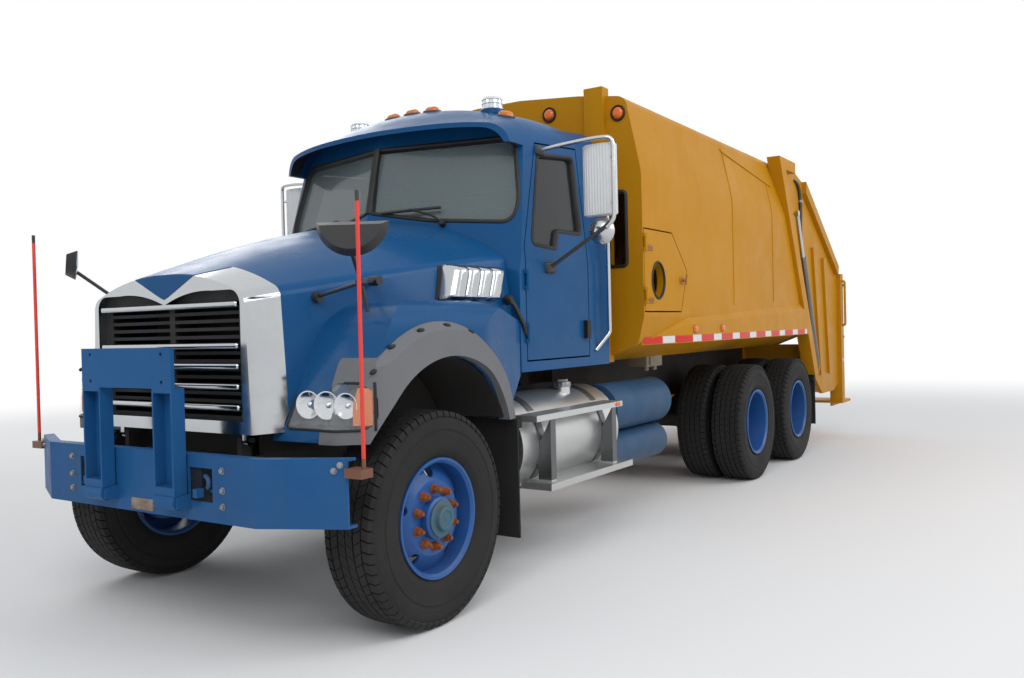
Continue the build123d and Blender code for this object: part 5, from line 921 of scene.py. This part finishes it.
# Door windows: tempered panes dropped into a black channel that follows the step in the sill.
door_corners = np.add([(1.171, 1.985, 0.03), (1.447, 1.970, 0.03), (1.496, 2.086, 0.03), (1.800, 2.090, 0.03),
                       (1.800, 2.590, 0.035), (1.350, 2.547, 0.06)], (front_axle_y, 0, 0))
door_loop = even_loop(rounded_loop(door_corners), 140)
door_out = loop_normals(door_loop)
clear_of_side_x = 1.6
beside = laid(np.concatenate([np.full((len(door_loop), 1), clear_of_side_x), door_loop + 0.030 * door_out], 1),
              "door_left", ("x", -1))
beside = beside[beside[:, 0] < clear_of_side_x - 0.4]
door_slope = np.linalg.lstsq(np.c_[beside[:, 1:], np.ones(len(beside))], beside[:, 0], rcond=None)[0]
door_skin_x = (np.c_[door_loop, np.ones(len(door_loop))] @ door_slope)[:, None]


def channel_row(outward, rise):
    """The window's outline moved outward by a distance and raised off the door's skin by another."""
    spot = door_loop + outward * door_out
    return np.concatenate([door_skin_x + rise, spot], 1)


channel_profile = ((0.022, -0.005), (0.020, 0.003), (0.012, 0.006), (0.003, 0.005), (-0.006, -0.003), (-0.012, -0.022),
                   (-0.010, -0.036), (0.002, -0.034))
channel_skin = np.stack([channel_row(outward, rise) for outward, rise in channel_profile], 1)
add_both("door_channel", [channel_skin], seal_rubber, "*_door", "flare_plastic", 50, wrap_u=True)

# Door mirrors: a white ribbed housing and a round one below it, hung on a bright tube loop that a dark strut holds
# off the door.
mirror_white = finish_on("mirror_white", (0.66, 0.67, 0.67), 0.42, stain=0.25, stain_colour=(0.48, 0.48, 0.46))
bright_tube = finish_on("bright_tube", (0.56, 0.57, 0.58), 0.22, metallic=1.0, stain=0.25,
                        stain_colour=(0.40, 0.40, 0.40))
facing_left = ((0, 1, 0), (0, 0, 1))
facing_rear = ((-1, 0, 0), (0, 0, 1))
head_middle_x = 1.3235
head_back_y = front_axle_y + 1.512
head_low_z, head_high_z = 2.150, 2.590
head_u = np.linspace(0, 1, 57)
head_rib = 0.003 * (np.cos(2 * np.pi * 11 * head_u) > 0.2)
head_bow = 0.030 * (1 - (2 * head_u - 1) ** 4)
head_front = np.stack([1.215 + 0.217 * head_u, front_axle_y + 1.464 - head_bow - head_rib], -1)
head_back = np.array([[1.432, head_back_y - 0.012], [1.424, head_back_y], [head_middle_x, head_back_y],
                      [1.223, head_back_y], [1.215, head_back_y - 0.012]])
head_plan = np.concatenate([head_front, head_back])
head_middle = np.array([head_middle_x, head_back_y - 0.022])
head_rows = np.array([(0.0, 0.90), (0.012, 0.985), (0.03, 1.0), (0.97, 1.0), (0.988, 0.985), (1.0, 0.90)])
head_skin = np.concatenate([
    head_middle + (head_plan - head_middle)[None] * head_rows[:, 1, None, None],
    np.broadcast_to((head_low_z + (head_high_z - head_low_z) * head_rows[:, 0])[:, None, None],
                    (len(head_rows), len(head_plan), 1)),
], -1)
head_glass = stack(soft_outline(0.094, 0.200, 0.02), raised(0.004, 0.002, 0.003, 0.003),
                   (head_middle_x, head_back_y, 2.370), *facing_rear)
spot_centre = (1.325, front_axle_y + 1.480, 2.055)
spot_rings = [(1, -0.036), (0.062, -0.050), (0.040, -0.044), (0.020, -0.030), (0.006, -0.012), (0, 0.0), (0, 0.010),
              (0.003, 0.013), (1, 0.013)]
spot_back = stack(round_outline(0.086, 36), spot_rings, spot_centre, *facing_rear)
spot_glass = stack(round_outline(0.080, 36), [(1, 0.010), (0, 0.012), (0.01, 0.016), (0.03, 0.020), (1, 0.024)],
                   spot_centre, *facing_rear)
loop_path = from_axle([(0.925, 1.360, 2.575), (1.100, 1.376, 2.600), (1.400, 1.410, 2.622), (1.440, 1.428, 2.600),
                       (1.441, 1.430, 2.540), (1.441, 1.430, 2.160), (1.436, 1.428, 2.110), (1.390, 1.420, 2.070)])
strut_path = from_axle([(1.415, 1.424, 2.100), (1.360, 1.410, 2.055), (1.030, 1.345, 1.838)])
ties = [tube(from_axle([(1.441, 1.430, z), (1.400, 1.470, z)]), 0.010) for z in (2.22, 2.50)]
spot_tie = tube(from_axle([(1.385, 1.420, 2.072), (1.340, 1.450, 2.058)]), 0.011)
feet = [stack(soft_outline(0.050, 0.034, 0.012), raised(0.025, 0.020, 0.010, 0.030),
              (1.016, front_axle_y + 1.345, 1.838), *facing_left),
        stack(soft_outline(0.040, 0.028, 0.012), raised(0.02, 0.022, 0.008, 0.030),
              (0.948, front_axle_y + 1.362, 2.578), *facing_left)]
for side, sign in sides:
    door = side + "_door"
    head = add_skins("mirror_head_" + side, across_truck([capped(head_skin)], sign), mirror_white, door,
                     "mirror_plastic", 25)
    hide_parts("door_mirror_" + side)
    add_skins("mirror_glasses_" + side, across_truck([head_glass, spot_glass], sign), silvered, door, "chrome", 40)
    add_skins("mirror_spot_" + side, across_truck([spot_back], sign), bright_tube, door, "chrome", 40)
    add_skins("mirror_loop_" + side, across_truck([tube(loop_path, 0.013, (0.2, 1, 0.1)), spot_tie] + ties, sign),
              bright_tube, door, "chrome", 50)
    add_skins("mirror_strut_" + side, across_truck([tube(strut_path, 0.012, (0, 1, 0))] + feet, sign), mirror_black,
              door, "mirror_plastic", 50)

# Roof lamps: two ribbed clear strobes on blue bases and five amber clearance lamps on grey feet.
strobe_clear = finish_on("strobe_clear", (0.70, 0.73, 0.75), 0.12, metallic=0.45, stain=0.25,
                         stain_colour=(0.35, 0.37, 0.39), coat=0.8)
strobe_turn = np.linspace(0, 2 * np.pi, 64, endpoint=False)
strobe_flute = 1 + 0.035 * np.cos(16 * strobe_turn)
strobe_rows = np.array([(0.0001, -0.010), (0.070, -0.010), (0.070, 0.006), (0.066, 0.010), (0.066, 0.030),
                        (0.069, 0.034), (0.066, 0.038), (0.065, 0.056), (0.068, 0.060), (0.064, 0.064),
                        (0.060, 0.074), (0.040, 0.082), (0.0001, 0.085)])
strobe_radius = strobe_rows[:, :1] * np.where(strobe_rows[:, :1] > 0.01, strobe_flute[None], 1.0)
strobe_z = np.broadcast_to(strobe_rows[:, 1:] + 0.018, strobe_radius.shape)
strobe = np.stack([strobe_radius * np.cos(strobe_turn), strobe_radius * np.sin(strobe_turn), strobe_z], -1)
facing_up = ((1, 0, 0), (0, 1, 0))
clear_of_roof_z = 3.4
strobes = []
bases = []
for sign in (-1, 1):
    seat = laid([(sign * 0.583, front_axle_y + 1.400, clear_of_roof_z)], "cab_shell", ("z", -1))[0]
    strobes.append(seat + strobe)
    bases.append(stack(round_outline(0.084, 32), raised(0.030, 0.000, 0.010, 0.008), seat + (0, 0, 0.010), *facing_up))
clearance = []
feet = []
dome = [(1, -0.008), (0, -0.008), (0.001, 0.010), (0.006, 0.020), (0.014, 0.028), (0.026, 0.033), (1, 0.034)]
for x in (-0.760, -0.170, 0.0, 0.170, 0.760):
    seat = laid([(x, front_axle_y + 1.290, clear_of_roof_z)], "cab_shell", ("z", -1))[0]
    tilt = np.array([1, 0, -0.28 * x / 0.760])
    clearance.append(stack(soft_outline(0.054, 0.036, 0.034, 7), dome, seat, tilt, (0, 1, 0.12)))
    feet.append(stack(soft_outline(0.064, 0.044, 0.038, 7), raised(0.02, 0.004, 0.004, 0.007),
                      seat, tilt, (0, 1, 0.12)))
strobe_piece = add_skins("roof_strobes", strobes, strobe_clear, "chassis", "lamp_plastic", 30)
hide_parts("roof_lamps")
add_skins("strobe_bases", bases, cab_blue, "chassis", "cab_paint", 30)
add_skins("clearance_lamps", clearance, lamp_amber, "chassis", "lamp_plastic", 40)
add_skins("clearance_feet", feet, lamp_grey, "chassis", "lamp_plastic", 40)
dress(bright_tube, "grab_bars")

# Cab interior: moulded grey dash and fittings, with a rubber-covered steering-wheel rim over the bare one.
cab_grey = finish_on("cab_grey", (0.075, 0.078, 0.085), 0.62, stain=0.3, stain_colour=(0.05, 0.05, 0.055), shine=0.25)
dress(cab_grey, "cab_fittings")
rim_turn = np.linspace(0, 2 * np.pi, 72, endpoint=False)
rim_spoke = np.stack([np.cos(rim_turn), 0.8 * np.sin(rim_turn), -0.6 * np.sin(rim_turn)], -1)
rim_path = np.array([0.480, front_axle_y + 1.330, 1.990]) + 0.2075 * rim_spoke
rim_ring = soft_outline(0.0175, 0.0160, 0.0155, 5)
rim_grip = 1 + 0.05 * np.cos(24 * rim_turn)[:, None, None]
rim_skin = (rim_path[:, None] + rim_ring[None, :, :1] * rim_grip * rim_spoke[:, None]
            + rim_ring[None, :, 1:] * np.array([0, 0.6, 0.8]))
add_skins("steering_rim", [rim_skin], seal_rubber, "chassis", "flare_plastic", 40, wrap_u=True)

# Seats: grey vinyl over foam, cushion and back each stitched round the edge and across two flutes, on a steel box.
seat_vinyl = finish_on("seat_vinyl", (0.085, 0.088, 0.095), 0.55, stain=0.35, stain_colour=(0.055, 0.055, 0.06),
                       bump=0.25, bump_scale=90, shine=0.35)
seam_grey = finish_on("seam_grey", (0.04, 0.04, 0.043), 0.7, stain=0.3, bump=0.3, bump_scale=160)


def superform(half, power, centre, turn, rows=20, columns=36):
    """A pillow: x, y, z = half * signed powers of the cosines and sines of two angles, turned about X."""
    rise = np.linspace(-np.pi / 2, np.pi / 2, rows)[:, None]
    around = np.linspace(0, 2 * np.pi, columns, endpoint=False)[None]

    def bent(value, exponent):
        """A power that keeps its value's sign."""
        return np.sign(value) * np.abs(value) ** exponent

    form = np.stack([half[0] * bent(np.cos(rise), power[0]) * bent(np.cos(around), power[1]),
                     half[1] * bent(np.cos(rise), power[0]) * bent(np.sin(around), power[1]),
                     half[2] * bent(np.sin(rise), power[0]) + 0 * around], -1)
    cosine, sine = math.cos(turn), math.sin(turn)
    return form @ np.array([[1, 0, 0], [0, cosine, -sine], [0, sine, cosine]]).T + centre


def puffed(name, skins, body, pressure, most):
    """Foam in its cover: the forms are remeshed, blown up by a cloth pressure and held to a largest movement."""
    piece = closed_object(name, *joined_grids(skins), merge=0.0005)
    bpy.context.view_layer.objects.active = piece
    piece.select_set(True)
    remesh = piece.modifiers.new("remesh", "REMESH")
    remesh.mode = "VOXEL"
    remesh.voxel_size = 0.012
    bpy.ops.object.modifier_apply(modifier="remesh")
    rest = np.empty(len(piece.data.vertices) * 3)
    piece.data.vertices.foreach_get("co", rest)
    cloth = piece.modifiers.new("cloth", "CLOTH")
    cloth.settings.effector_weights.gravity = 0
    cloth.settings.use_pressure = True
    cloth.settings.uniform_pressure_force = pressure
    cloth.settings.tension_stiffness = 12
    cloth.settings.bending_stiffness = 1.5
    cloth.point_cache.frame_start = 1
    cloth.point_cache.frame_end = 20
    for step in range(1, 21):
        bpy.context.scene.frame_set(step)
    bpy.ops.object.modifier_apply(modifier="cloth")
    bpy.context.scene.frame_set(1)
    blown = np.empty_like(rest)
    piece.data.vertices.foreach_get("co", blown)
    move = (blown - rest).reshape(-1, 3)
    move *= np.minimum(1, most / np.maximum(np.linalg.norm(move, axis=1, keepdims=True), 1e-9))
    rest += move.ravel()
    piece.data.vertices.foreach_set("co", rest)
    smooth = piece.modifiers.new("smooth", "SUBSURF")
    smooth.levels = 1
    smooth.render_levels = 1
    piece.data.polygons.foreach_set("use_smooth", [True] * len(piece.data.polygons))
    piece.select_set(False)
    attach(piece, body)
    return piece


cushion_turn, back_turn = math.radians(4), math.radians(-9)
pillows = []
welts = []
frames = []
for middle in (-0.480, 0.480):
    cushion_at = np.array([middle, front_axle_y + 1.730, 1.615])
    back_at = np.array([middle, front_axle_y + 1.985, 1.990])
    for shift, wide in ((-0.155, 0.088), (0.0, 0.086), (0.155, 0.088)):
        pillows.append(superform((wide, 0.215, 0.064), (0.45, 0.35), cushion_at + (shift, 0, 0), cushion_turn))
        pillows.append(superform((wide, 0.058, 0.300), (0.45, 0.35), back_at + (shift, 0, 0), back_turn))
    cushion_way = (0, math.cos(cushion_turn), math.sin(cushion_turn))
    back_way = (0, -math.sin(back_turn), math.cos(back_turn))
    for at, half_b, way in ((cushion_at, 0.212, cushion_way), (back_at, 0.296, back_way)):
        corners = [(a, b, 0.06) for a, b in ((-0.236, -half_b), (0.236, -half_b), (0.236, half_b), (-0.236, half_b))]
        welts.append(beaded_loop(even_loop(rounded_loop(corners), 80), soft_outline(0.006, 0.006, 0.0055, 3), at,
                                 (1, 0, 0), way))
    frames.append(stack(soft_outline(0.205, 0.185, 0.03), raised(0.150, -0.030, 0.01, -0.022),
                        cushion_at + (0, 0.005, -0.020), *facing_up))
seat_pads = puffed("seat_pads", pillows, "chassis", 4.0, 0.010)
seat_pads.data.materials.append(seat_vinyl)
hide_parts("seats")
add_skins("seat_welts", welts, seam_grey, "chassis", "seat_foam", 50, wrap_u=True)
add_skins("seat_bases", frames, chassis_black, "chassis", "chassis_steel", 30)

# Fuel tank and steps: a bright rolled-aluminium drum in two steel bands with a knurled filler cap on top, and a black
# step box on the other side.
aluminium = finish_on("aluminium", (0.62, 0.63, 0.63), 0.33, metallic=0.9, stain=0.25, stain_colour=(0.42, 0.42, 0.41),
                      dust=0.3, dust_top=0.9, stain_scale=0.5, streak=0.2, streak_colour=(0.33, 0.31, 0.28), zones=[
                          ((0.40, front_axle_y + y, low), (reach, front_axle_y + y + 0.064, high), (0.15, 0.155, 0.16))
                          for y in (1.048, 1.848) for low, high, reach in ((0.56, 0.922, 1.185), (0.963, 1.085, 1.15))
                      ])
dress(aluminium, "fuel_tank")
dress(chassis_black, "step_box")
cap_at = np.array([0.900, front_axle_y + 1.687, 1.072])
cap_turn = np.linspace(0, 2 * np.pi, 48, endpoint=False)
cap_radius = 0.055 + 0.0015 * np.cos(12 * cap_turn)
cap_grip = np.stack([cap_radius * np.cos(cap_turn), cap_radius * np.sin(cap_turn)], -1)
cap_rings = [(1, -0.005), (0, -0.005), (0, 0.022), (0.004, 0.028), (0.020, 0.030), (1, 0.030)]
cap_bar = [(1, 0.026), (0, 0.026), (0, 0.042), (0.002, 0.045), (1, 0.045)]
cap_skins = [stack(cap_grip, cap_rings, cap_at, *facing_up),
             stack(soft_outline(0.036, 0.007, 0.003, 3), cap_bar, cap_at, (0.8, 0.6, 0), (-0.6, 0.8, 0))]
add_skins("fuel_cap", cap_skins, zinc, "chassis", "aluminium", 40)

# Packer body: welded steel sheet in worn ochre, paler where the sun has had it and streaked with rust below its seams.
ochre = (0.470, 0.210, 0.005)
ochre_paint = finish_on("ochre_paint", ochre, 0.42, stain=0.35, stain_colour=(0.37, 0.155, 0.004), dust=0.16,
                        dust_top=1.9, dust_colour=(0.26, 0.15, 0.03), streak=0.30, streak_colour=(0.24, 0.10, 0.012),
                        stain_scale=0.8, shine=0.10)
worn_ochre = finish_on("worn_ochre", (0.42, 0.18, 0.010), 0.48, stain=0.6, stain_colour=(0.26, 0.11, 0.02), dust=0.3,
                       dust_top=2.6, dust_colour=(0.24, 0.17, 0.09), streak=0.7, streak_colour=(0.14, 0.06, 0.02),
                       stain_scale=1.6, shine=0.15)
dress(ochre_paint, "body_shell", "access_door", "tailgate")
scraped = finish_on("scraped_steel", (0.20, 0.19, 0.18), 0.42, metallic=0.8, stain=0.8,
                    stain_colour=(0.11, 0.055, 0.028), dust=0.3, dust_top=3.0, bump=0.3, streak=0.5)
dress(worn_ochre, "ejector_panel", "packer_carriage")
dress(scraped, "sweep_panel")

# Reflective tape: one strip of red and white foil along each skirt.
tape_start_y = front_axle_y + 2.420
tape_run = np.linspace(tape_start_y, front_axle_y + 6.440, 160)
tape_band = 1.325 + 0.052 * np.linspace(0, 1, 5)


def foil(name, start_y, pitch, red_share):
    """Reflective foil: white with a red band on red_share of each pitch."""
    return finish_on(name, (0.62, 0.62, 0.60), 0.32, stain=0.25, stain_colour=(0.42, 0.40, 0.37), dust=0.1, shine=0.2,
                     stripes=(start_y, pitch, red_share, (0.55, 0.014, 0.010)))


tape = foil("reflective_tape", tape_start_y, 0.457, 0.61)
tape_flat = np.stack(np.broadcast_arrays(clear_of_side_x, tape_run[:, None], tape_band[None]), -1)
tape_face = laid(tape_flat, "body_shell", ("x", -1), 0.0012)
tape_back = laid(tape_flat, "body_shell", ("x", -1), -0.0006)
add_both("reflective_tape", [np.concatenate([tape_face, tape_back[:, ::-1]], 1)], tape, "chassis", "body_paint", 30)

# Body lamps: round marker lenses in black rubber rings on the front face, amber side lamps on their feet, and the
# grey valve box under the driver's corner.
lamp_orange = finish_on("lamp_orange", (0.68, 0.13, 0.006), 0.22, stain=0.25, stain_colour=(0.45, 0.08, 0.005),
                        coat=0.3)
body_face_y = front_axle_y + 2.350
round_lens = [(1, -0.004), (0.012, -0.004), (0.012, 0.010), (0.016, 0.018), (0.028, 0.024), (1, 0.026)]
round_ring = [(1, -0.006), (0, -0.006), (0, 0.010), (0.003, 0.014), (0.009, 0.014), (0.012, 0.010), (0.012, -0.002),
              (1, -0.002)]
lens_skins = []
ring_skins = []
for x, z in ((0.460, 3.060), (-0.460, 3.060), (1.030, 2.990), (-1.030, 2.990)):
    lens_skins.append(stack(round_outline(0.055, 32), round_lens, (x, body_face_y, z), *facing_front))
    ring_skins.append(stack(round_outline(0.058, 32), round_ring, (x, body_face_y, z), *facing_front))
side_lens = [(1, -0.006), (0, -0.006), (0, 0.010), (0.004, 0.017), (0.012, 0.020), (1, 0.021)]
side_foot = raised(0.012, -0.002, 0.002, 0.001)
for sign in (-1, 1):
    for y in (-0.630, -0.020):
        spot = laid([(sign * clear_of_side_x, y, 1.4225)], "body_shell", ("x", -sign))[0]
        lens_skins.append(stack(soft_outline(0.030, 0.026, 0.008), side_lens, spot, (0, sign, 0), (0, 0, 1)))
        ring_skins.append(stack(soft_outline(0.035, 0.031, 0.008), side_foot, spot, (0, sign, 0), (0, 0, 1)))
lens_piece = add_skins("body_lenses", lens_skins, lamp_orange, "chassis", "lamp_plastic", 40)
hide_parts("body_lamps")
add_skins("body_lamp_rings", ring_skins, seal_rubber, "chassis", "lamp_plastic", 40)
valve_grey = finish_on("valve_grey", (0.30, 0.27, 0.20), 0.5, stain=0.5, stain_colour=(0.16, 0.10, 0.05), dust=0.4,
                       streak=0.4)
valve_y = body_face_y + 1.055
valve_skins = [stack(soft_outline(0.155, 0.090, 0.012), [(0, 0.0), (0, 0.18), (0.006, 0.186), (1, 0.186)],
                     (0.710, valve_y, 1.120), (0, 1, 0), (-1, 0, 0)),
               stack(soft_outline(0.110, 0.062, 0.010), raised(0.01, 0.010, 0.004, 0.014), (0.800, valve_y, 1.190),
                     *facing_left)]
for y in (valve_y - 0.08, valve_y + 0.08):
    valve_skins.append(stack(round_outline(0.022, 20), raised(0.01, 0.030, 0.004, 0.034), (0.755, y, 1.120),
                             (1, 0, 0), (0, -1, 0)))
add_skins("valve_box", valve_skins, valve_grey, "chassis", "body_paint", 30)

# Slots of the body's front face: each is rimmed by a black rubber bead pressed over the sheet's edge.
slot_corners = [(0.937, 1.895, 0.03), (1.073, 1.895, 0.03), (1.073, 2.425, 0.03), (0.937, 2.425, 0.03)]
slot_loop = even_loop(rounded_loop(slot_corners), 96)
bead_profile = [(0.016, -0.004), (0.016, 0.006), (0.010, 0.012), (-0.002, 0.013), (-0.008, 0.006), (-0.008, -0.010),
                (0.002, -0.010), (0.002, -0.004)]
slot_skins = [beaded_loop(slot_loop * (sign, 1), bead_profile, (0, body_face_y, 0), *facing_front) for sign in (1, -1)]
add_skins("slot_beads", slot_skins, seal_rubber, "chassis", "flare_plastic", 50, wrap_u=True)

# Side access door: a rubber bead round its oval hole, rusty strap hinges over the knuckles and a T-handle latch.
oval_turn = np.linspace(0, 2 * np.pi, 72, endpoint=False)
oval_y, oval_z = body_face_y + 0.260, 1.790
oval_loop = np.stack([oval_y + 0.108 * np.cos(oval_turn), oval_z + 0.128 * np.sin(oval_turn)], -1)
oval_seat = float(laid([(clear_of_side_x, oval_y + 0.150, oval_z)], "access_door", ("x", -1))[0][0])
oval_profile = [(0.014, -0.003), (0.014, 0.003), (0.008, 0.008), (0.000, 0.008), (-0.004, 0.003), (-0.004, -0.006),
                (0.002, -0.006), (0.002, -0.003)]
oval_bead = beaded_loop(oval_loop, oval_profile, (oval_seat, 0, 0), *facing_left)
add_skins("oval_bead", [oval_bead], seal_rubber, "hatch", "flare_plastic", 50, wrap_u=True)
hinge_rust = finish_on("hinge_rust", (0.36, 0.15, 0.035), 0.55, metallic=0.5, stain=0.6,
                       stain_colour=(0.16, 0.06, 0.02))
hinge_zs = (1.640, 2.020)
straps = [stack(soft_outline(0.060, 0.020, 0.006), raised(0.004, 0.004, 0.002, 0.007),
                (oval_seat, body_face_y + 0.105, z), *facing_left) for z in hinge_zs]
bolt_places = [(oval_seat + 0.006, body_face_y + y, z) for z in hinge_zs for y in (0.075, 0.130)]
bolts("strap_bolts", bolt_places, (1, 0, 0), 0.007, hinge_rust, "hatch", "body_paint")
latch_at = np.array([oval_seat, body_face_y + 0.700, 1.800])
straps.append(stack(soft_outline(0.042, 0.026, 0.008), raised(0.004, 0.004, 0.002, 0.006), latch_at, *facing_left))
straps.append(stack(round_outline(0.009, 14), raised(0.0, 0.036, 0.002, 0.038), latch_at, *facing_left))
handle = latch_at + [(0.038, -0.005, -0.030), (0.040, 0.0, 0.0), (0.036, 0.020, 0.045)]
straps.append(tube(handle, 0.008, (1, 0, 0)))
add_skins("hatch_iron", straps, hinge_rust, "hatch", "body_paint", 40)

# Weld beads: where the body's side sheets meet, and a lapped gusset plate under each upper rear corner.
seam_skins = []
for y, low, high in ((0.405, 1.62, 2.98), (1.560, 1.66, 2.86)):
    seam_z = np.linspace(low, high, 60)
    path = laid(np.stack(np.broadcast_arrays(clear_of_side_x, y, seam_z), -1), "body_shell", ("x", -1))
    seam_skins.append(capped(carried(path, soft_outline(0.0022, 0.006, 0.0015, 3), (1, 0, 0))))
gusset_y = np.linspace(0.377, 1.700, 50)
gusset_low = 2.984 - (gusset_y - 0.377) / 1.440 * 0.180
gusset_z = gusset_low[:, None] + (3.010 - gusset_low)[:, None] * np.linspace(0, 1, 14)[None]
gusset = laid(np.stack(np.broadcast_arrays(clear_of_side_x, gusset_y[:, None], gusset_z), -1), "body_shell", ("x", -1))
gusset_skin = slab(gusset, -0.004, 0.009, (1, 0, 0))
for side, sign in sides:
    add_skins("weld_seams_" + side, across_truck(seam_skins, sign), ochre_paint, "chassis", "body_paint", 50)
    add_skins("gusset_" + side, across_truck([gusset_skin], sign), ochre_paint, "chassis", "body_paint", 25)

# Tailgate: rigid black hydraulic pipes clipped down each side, red lamps in black rubber cups, a blank plate in its
# holder, red and white foil over the steps, and bright rods in the lift cylinders.
cylinder_steel = finish_on("cylinder_steel", (0.20, 0.20, 0.20), 0.32, metallic=0.9, stain=0.5,
                           stain_colour=(0.10, 0.06, 0.035), dust=0.3)
rod_chrome = finish_on("rod_chrome", (0.55, 0.56, 0.57), 0.16, metallic=1.0, stain=0.3, stain_colour=(0.30, 0.30, 0.30))
dress(cylinder_steel, "lift_barrel_left", "lift_barrel_right")
dress(rod_chrome, "lift_rod_left", "lift_rod_right")
dress(ochre_paint, "rear_steps")
pipe_black = finish_on("pipe_black", (0.022, 0.021, 0.020), 0.5, stain=0.6, stain_colour=(0.07, 0.045, 0.03), dust=0.2)
rear_y = front_axle_y + wheelbase + 3.540
lamp_red = finish_on("lamp_red", (0.50, 0.012, 0.012), 0.2, stain=0.25, stain_colour=(0.25, 0.01, 0.01), coat=0.7)
cup_rings = [(1, -0.012), (0, -0.012), (0, 0.006), (0.002, 0.009), (0.006, 0.009), (0.007, 0.004), (1, 0.004)]
lamp_rings = [(1, -0.004), (0, -0.004), (0, 0.012), (0.002, 0.018), (0.008, 0.023), (1, 0.025)]
lamp_places = [(x, rear_y, z) for x in (-1.175, 1.175) for z in (1.250, 1.400, 1.900)]
cup_skins = [stack(round_outline(0.031, 24), cup_rings, at, *facing_rear) for at in lamp_places]
lamp_skins = [stack(round_outline(0.0235, 24), lamp_rings, at, *facing_rear) for at in lamp_places]
lamp_piece = add_skins("tail_lenses", lamp_skins, lamp_red, "tailgate_body", "lamp_plastic", 40)
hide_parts("tail_lamps")
add_skins("tail_cups", cup_skins, seal_rubber, "tailgate_body", "lamp_plastic", 40)

wall_x = 1.150
pipe_skins = []
clip_skins = []
for shift, bore in ((0.0, 0.013), (0.040, 0.011)):
    run = [(wall_x + 0.016, front_axle_y + y + shift, z) for y, z in
           ((6.360, 2.990), (6.500, 2.940), (6.560, 2.700), (6.500, 2.420), (6.690, 1.900), (6.960, 1.280))]
    stubs = [(wall_x - 0.03, y, z) for _, y, z in (run[0], run[-1])]
    pipe_skins.append(tube(stubs[:1] + run + stubs[1:], bore, (1, 1, 0.3), 10, 4))
for y, z in ((6.545, 2.780), (6.570, 2.220), (6.800, 1.620)):
    clip_skins.append(stack(soft_outline(0.046, 0.016, 0.006), raised(0.004, 0.028, 0.004, 0.032),
                            (wall_x, front_axle_y + y + 0.018, z), *facing_left))
for side, sign in sides:
    add_skins("lift_pipes_" + side, across_truck(pipe_skins, sign), pipe_black, "tailgate_body", "chassis_steel", 50)
    add_skins("pipe_clips_" + side, across_truck(clip_skins, sign), zinc, "tailgate_body", "chassis_steel", 40)

corner_tape = foil("corner_tape", rear_y - 0.130, 0.062, 0.5)
corner_skin = stack(soft_outline(0.060, 0.020, 0.003), raised(0.001, 0.0015, 0.001, 0.002),
                    (1.200, rear_y - 0.065, 0.960), *facing_left)
add_both("corner_tape", [corner_skin], corner_tape, "tailgate_body", "body_paint", 30)

plate_white = finish_on("plate_white", (0.60, 0.60, 0.58), 0.45, stain=0.3, stain_colour=(0.40, 0.38, 0.34), dust=0.3)
plate_at = (-0.780, rear_y, 0.955)
holder_skin = stack(soft_outline(0.165, 0.090, 0.012), raised(0.006, 0.004, 0.002, 0.006), plate_at, *facing_rear)
plate_skin = stack(soft_outline(0.152, 0.076, 0.010), raised(-0.002, 0.008, 0.001, 0.009), plate_at, *facing_rear)
add_skins("rear_plate_holder", [holder_skin], chassis_black, "tailgate_body", "chassis_steel", 40)
add_skins("rear_plate", [plate_skin], plate_white, "tailgate_body", "body_paint", 40)
reflector = stack(soft_outline(0.030, 0.013, 0.006), raised(0.003, 0.004, 0.002, 0.006),
                  (1.210, front_axle_y + 1.880, 0.9425), *facing_left)
add_skins("step_reflectors", [reflector], lamp_orange, "chassis", "lamp_plastic", 40)

# Tow hooks: forged hooks behind the bumper's holes, curling forward and outward, under the bumper's blue.
hook_turn = np.linspace(math.radians(-75), math.radians(165), 40)
hook_path = np.stack([0.420 + 0.034 * np.cos(hook_turn), front_axle_y - 0.818 + 0 * hook_turn,
                      0.785 + 0.034 * np.sin(hook_turn)], -1)
hook_path = np.concatenate([[(0.452, front_axle_y - 0.780, 0.740)], hook_path])
hook_skin = capped(carried(hook_path, soft_outline(0.010, 0.010, 0.008, 3), (0, 1, 0)))
hook_blue = finish_on("hook_blue", (0.020, 0.12, 0.30), 0.5, stain=0.5, stain_colour=(0.05, 0.05, 0.06), dust=0.2,
                      shine=0.2)
add_skins("tow_hooks", [hook_skin, hook_skin * (-1, 1, 1)], hook_blue, "chassis", "chassis_steel", 50)
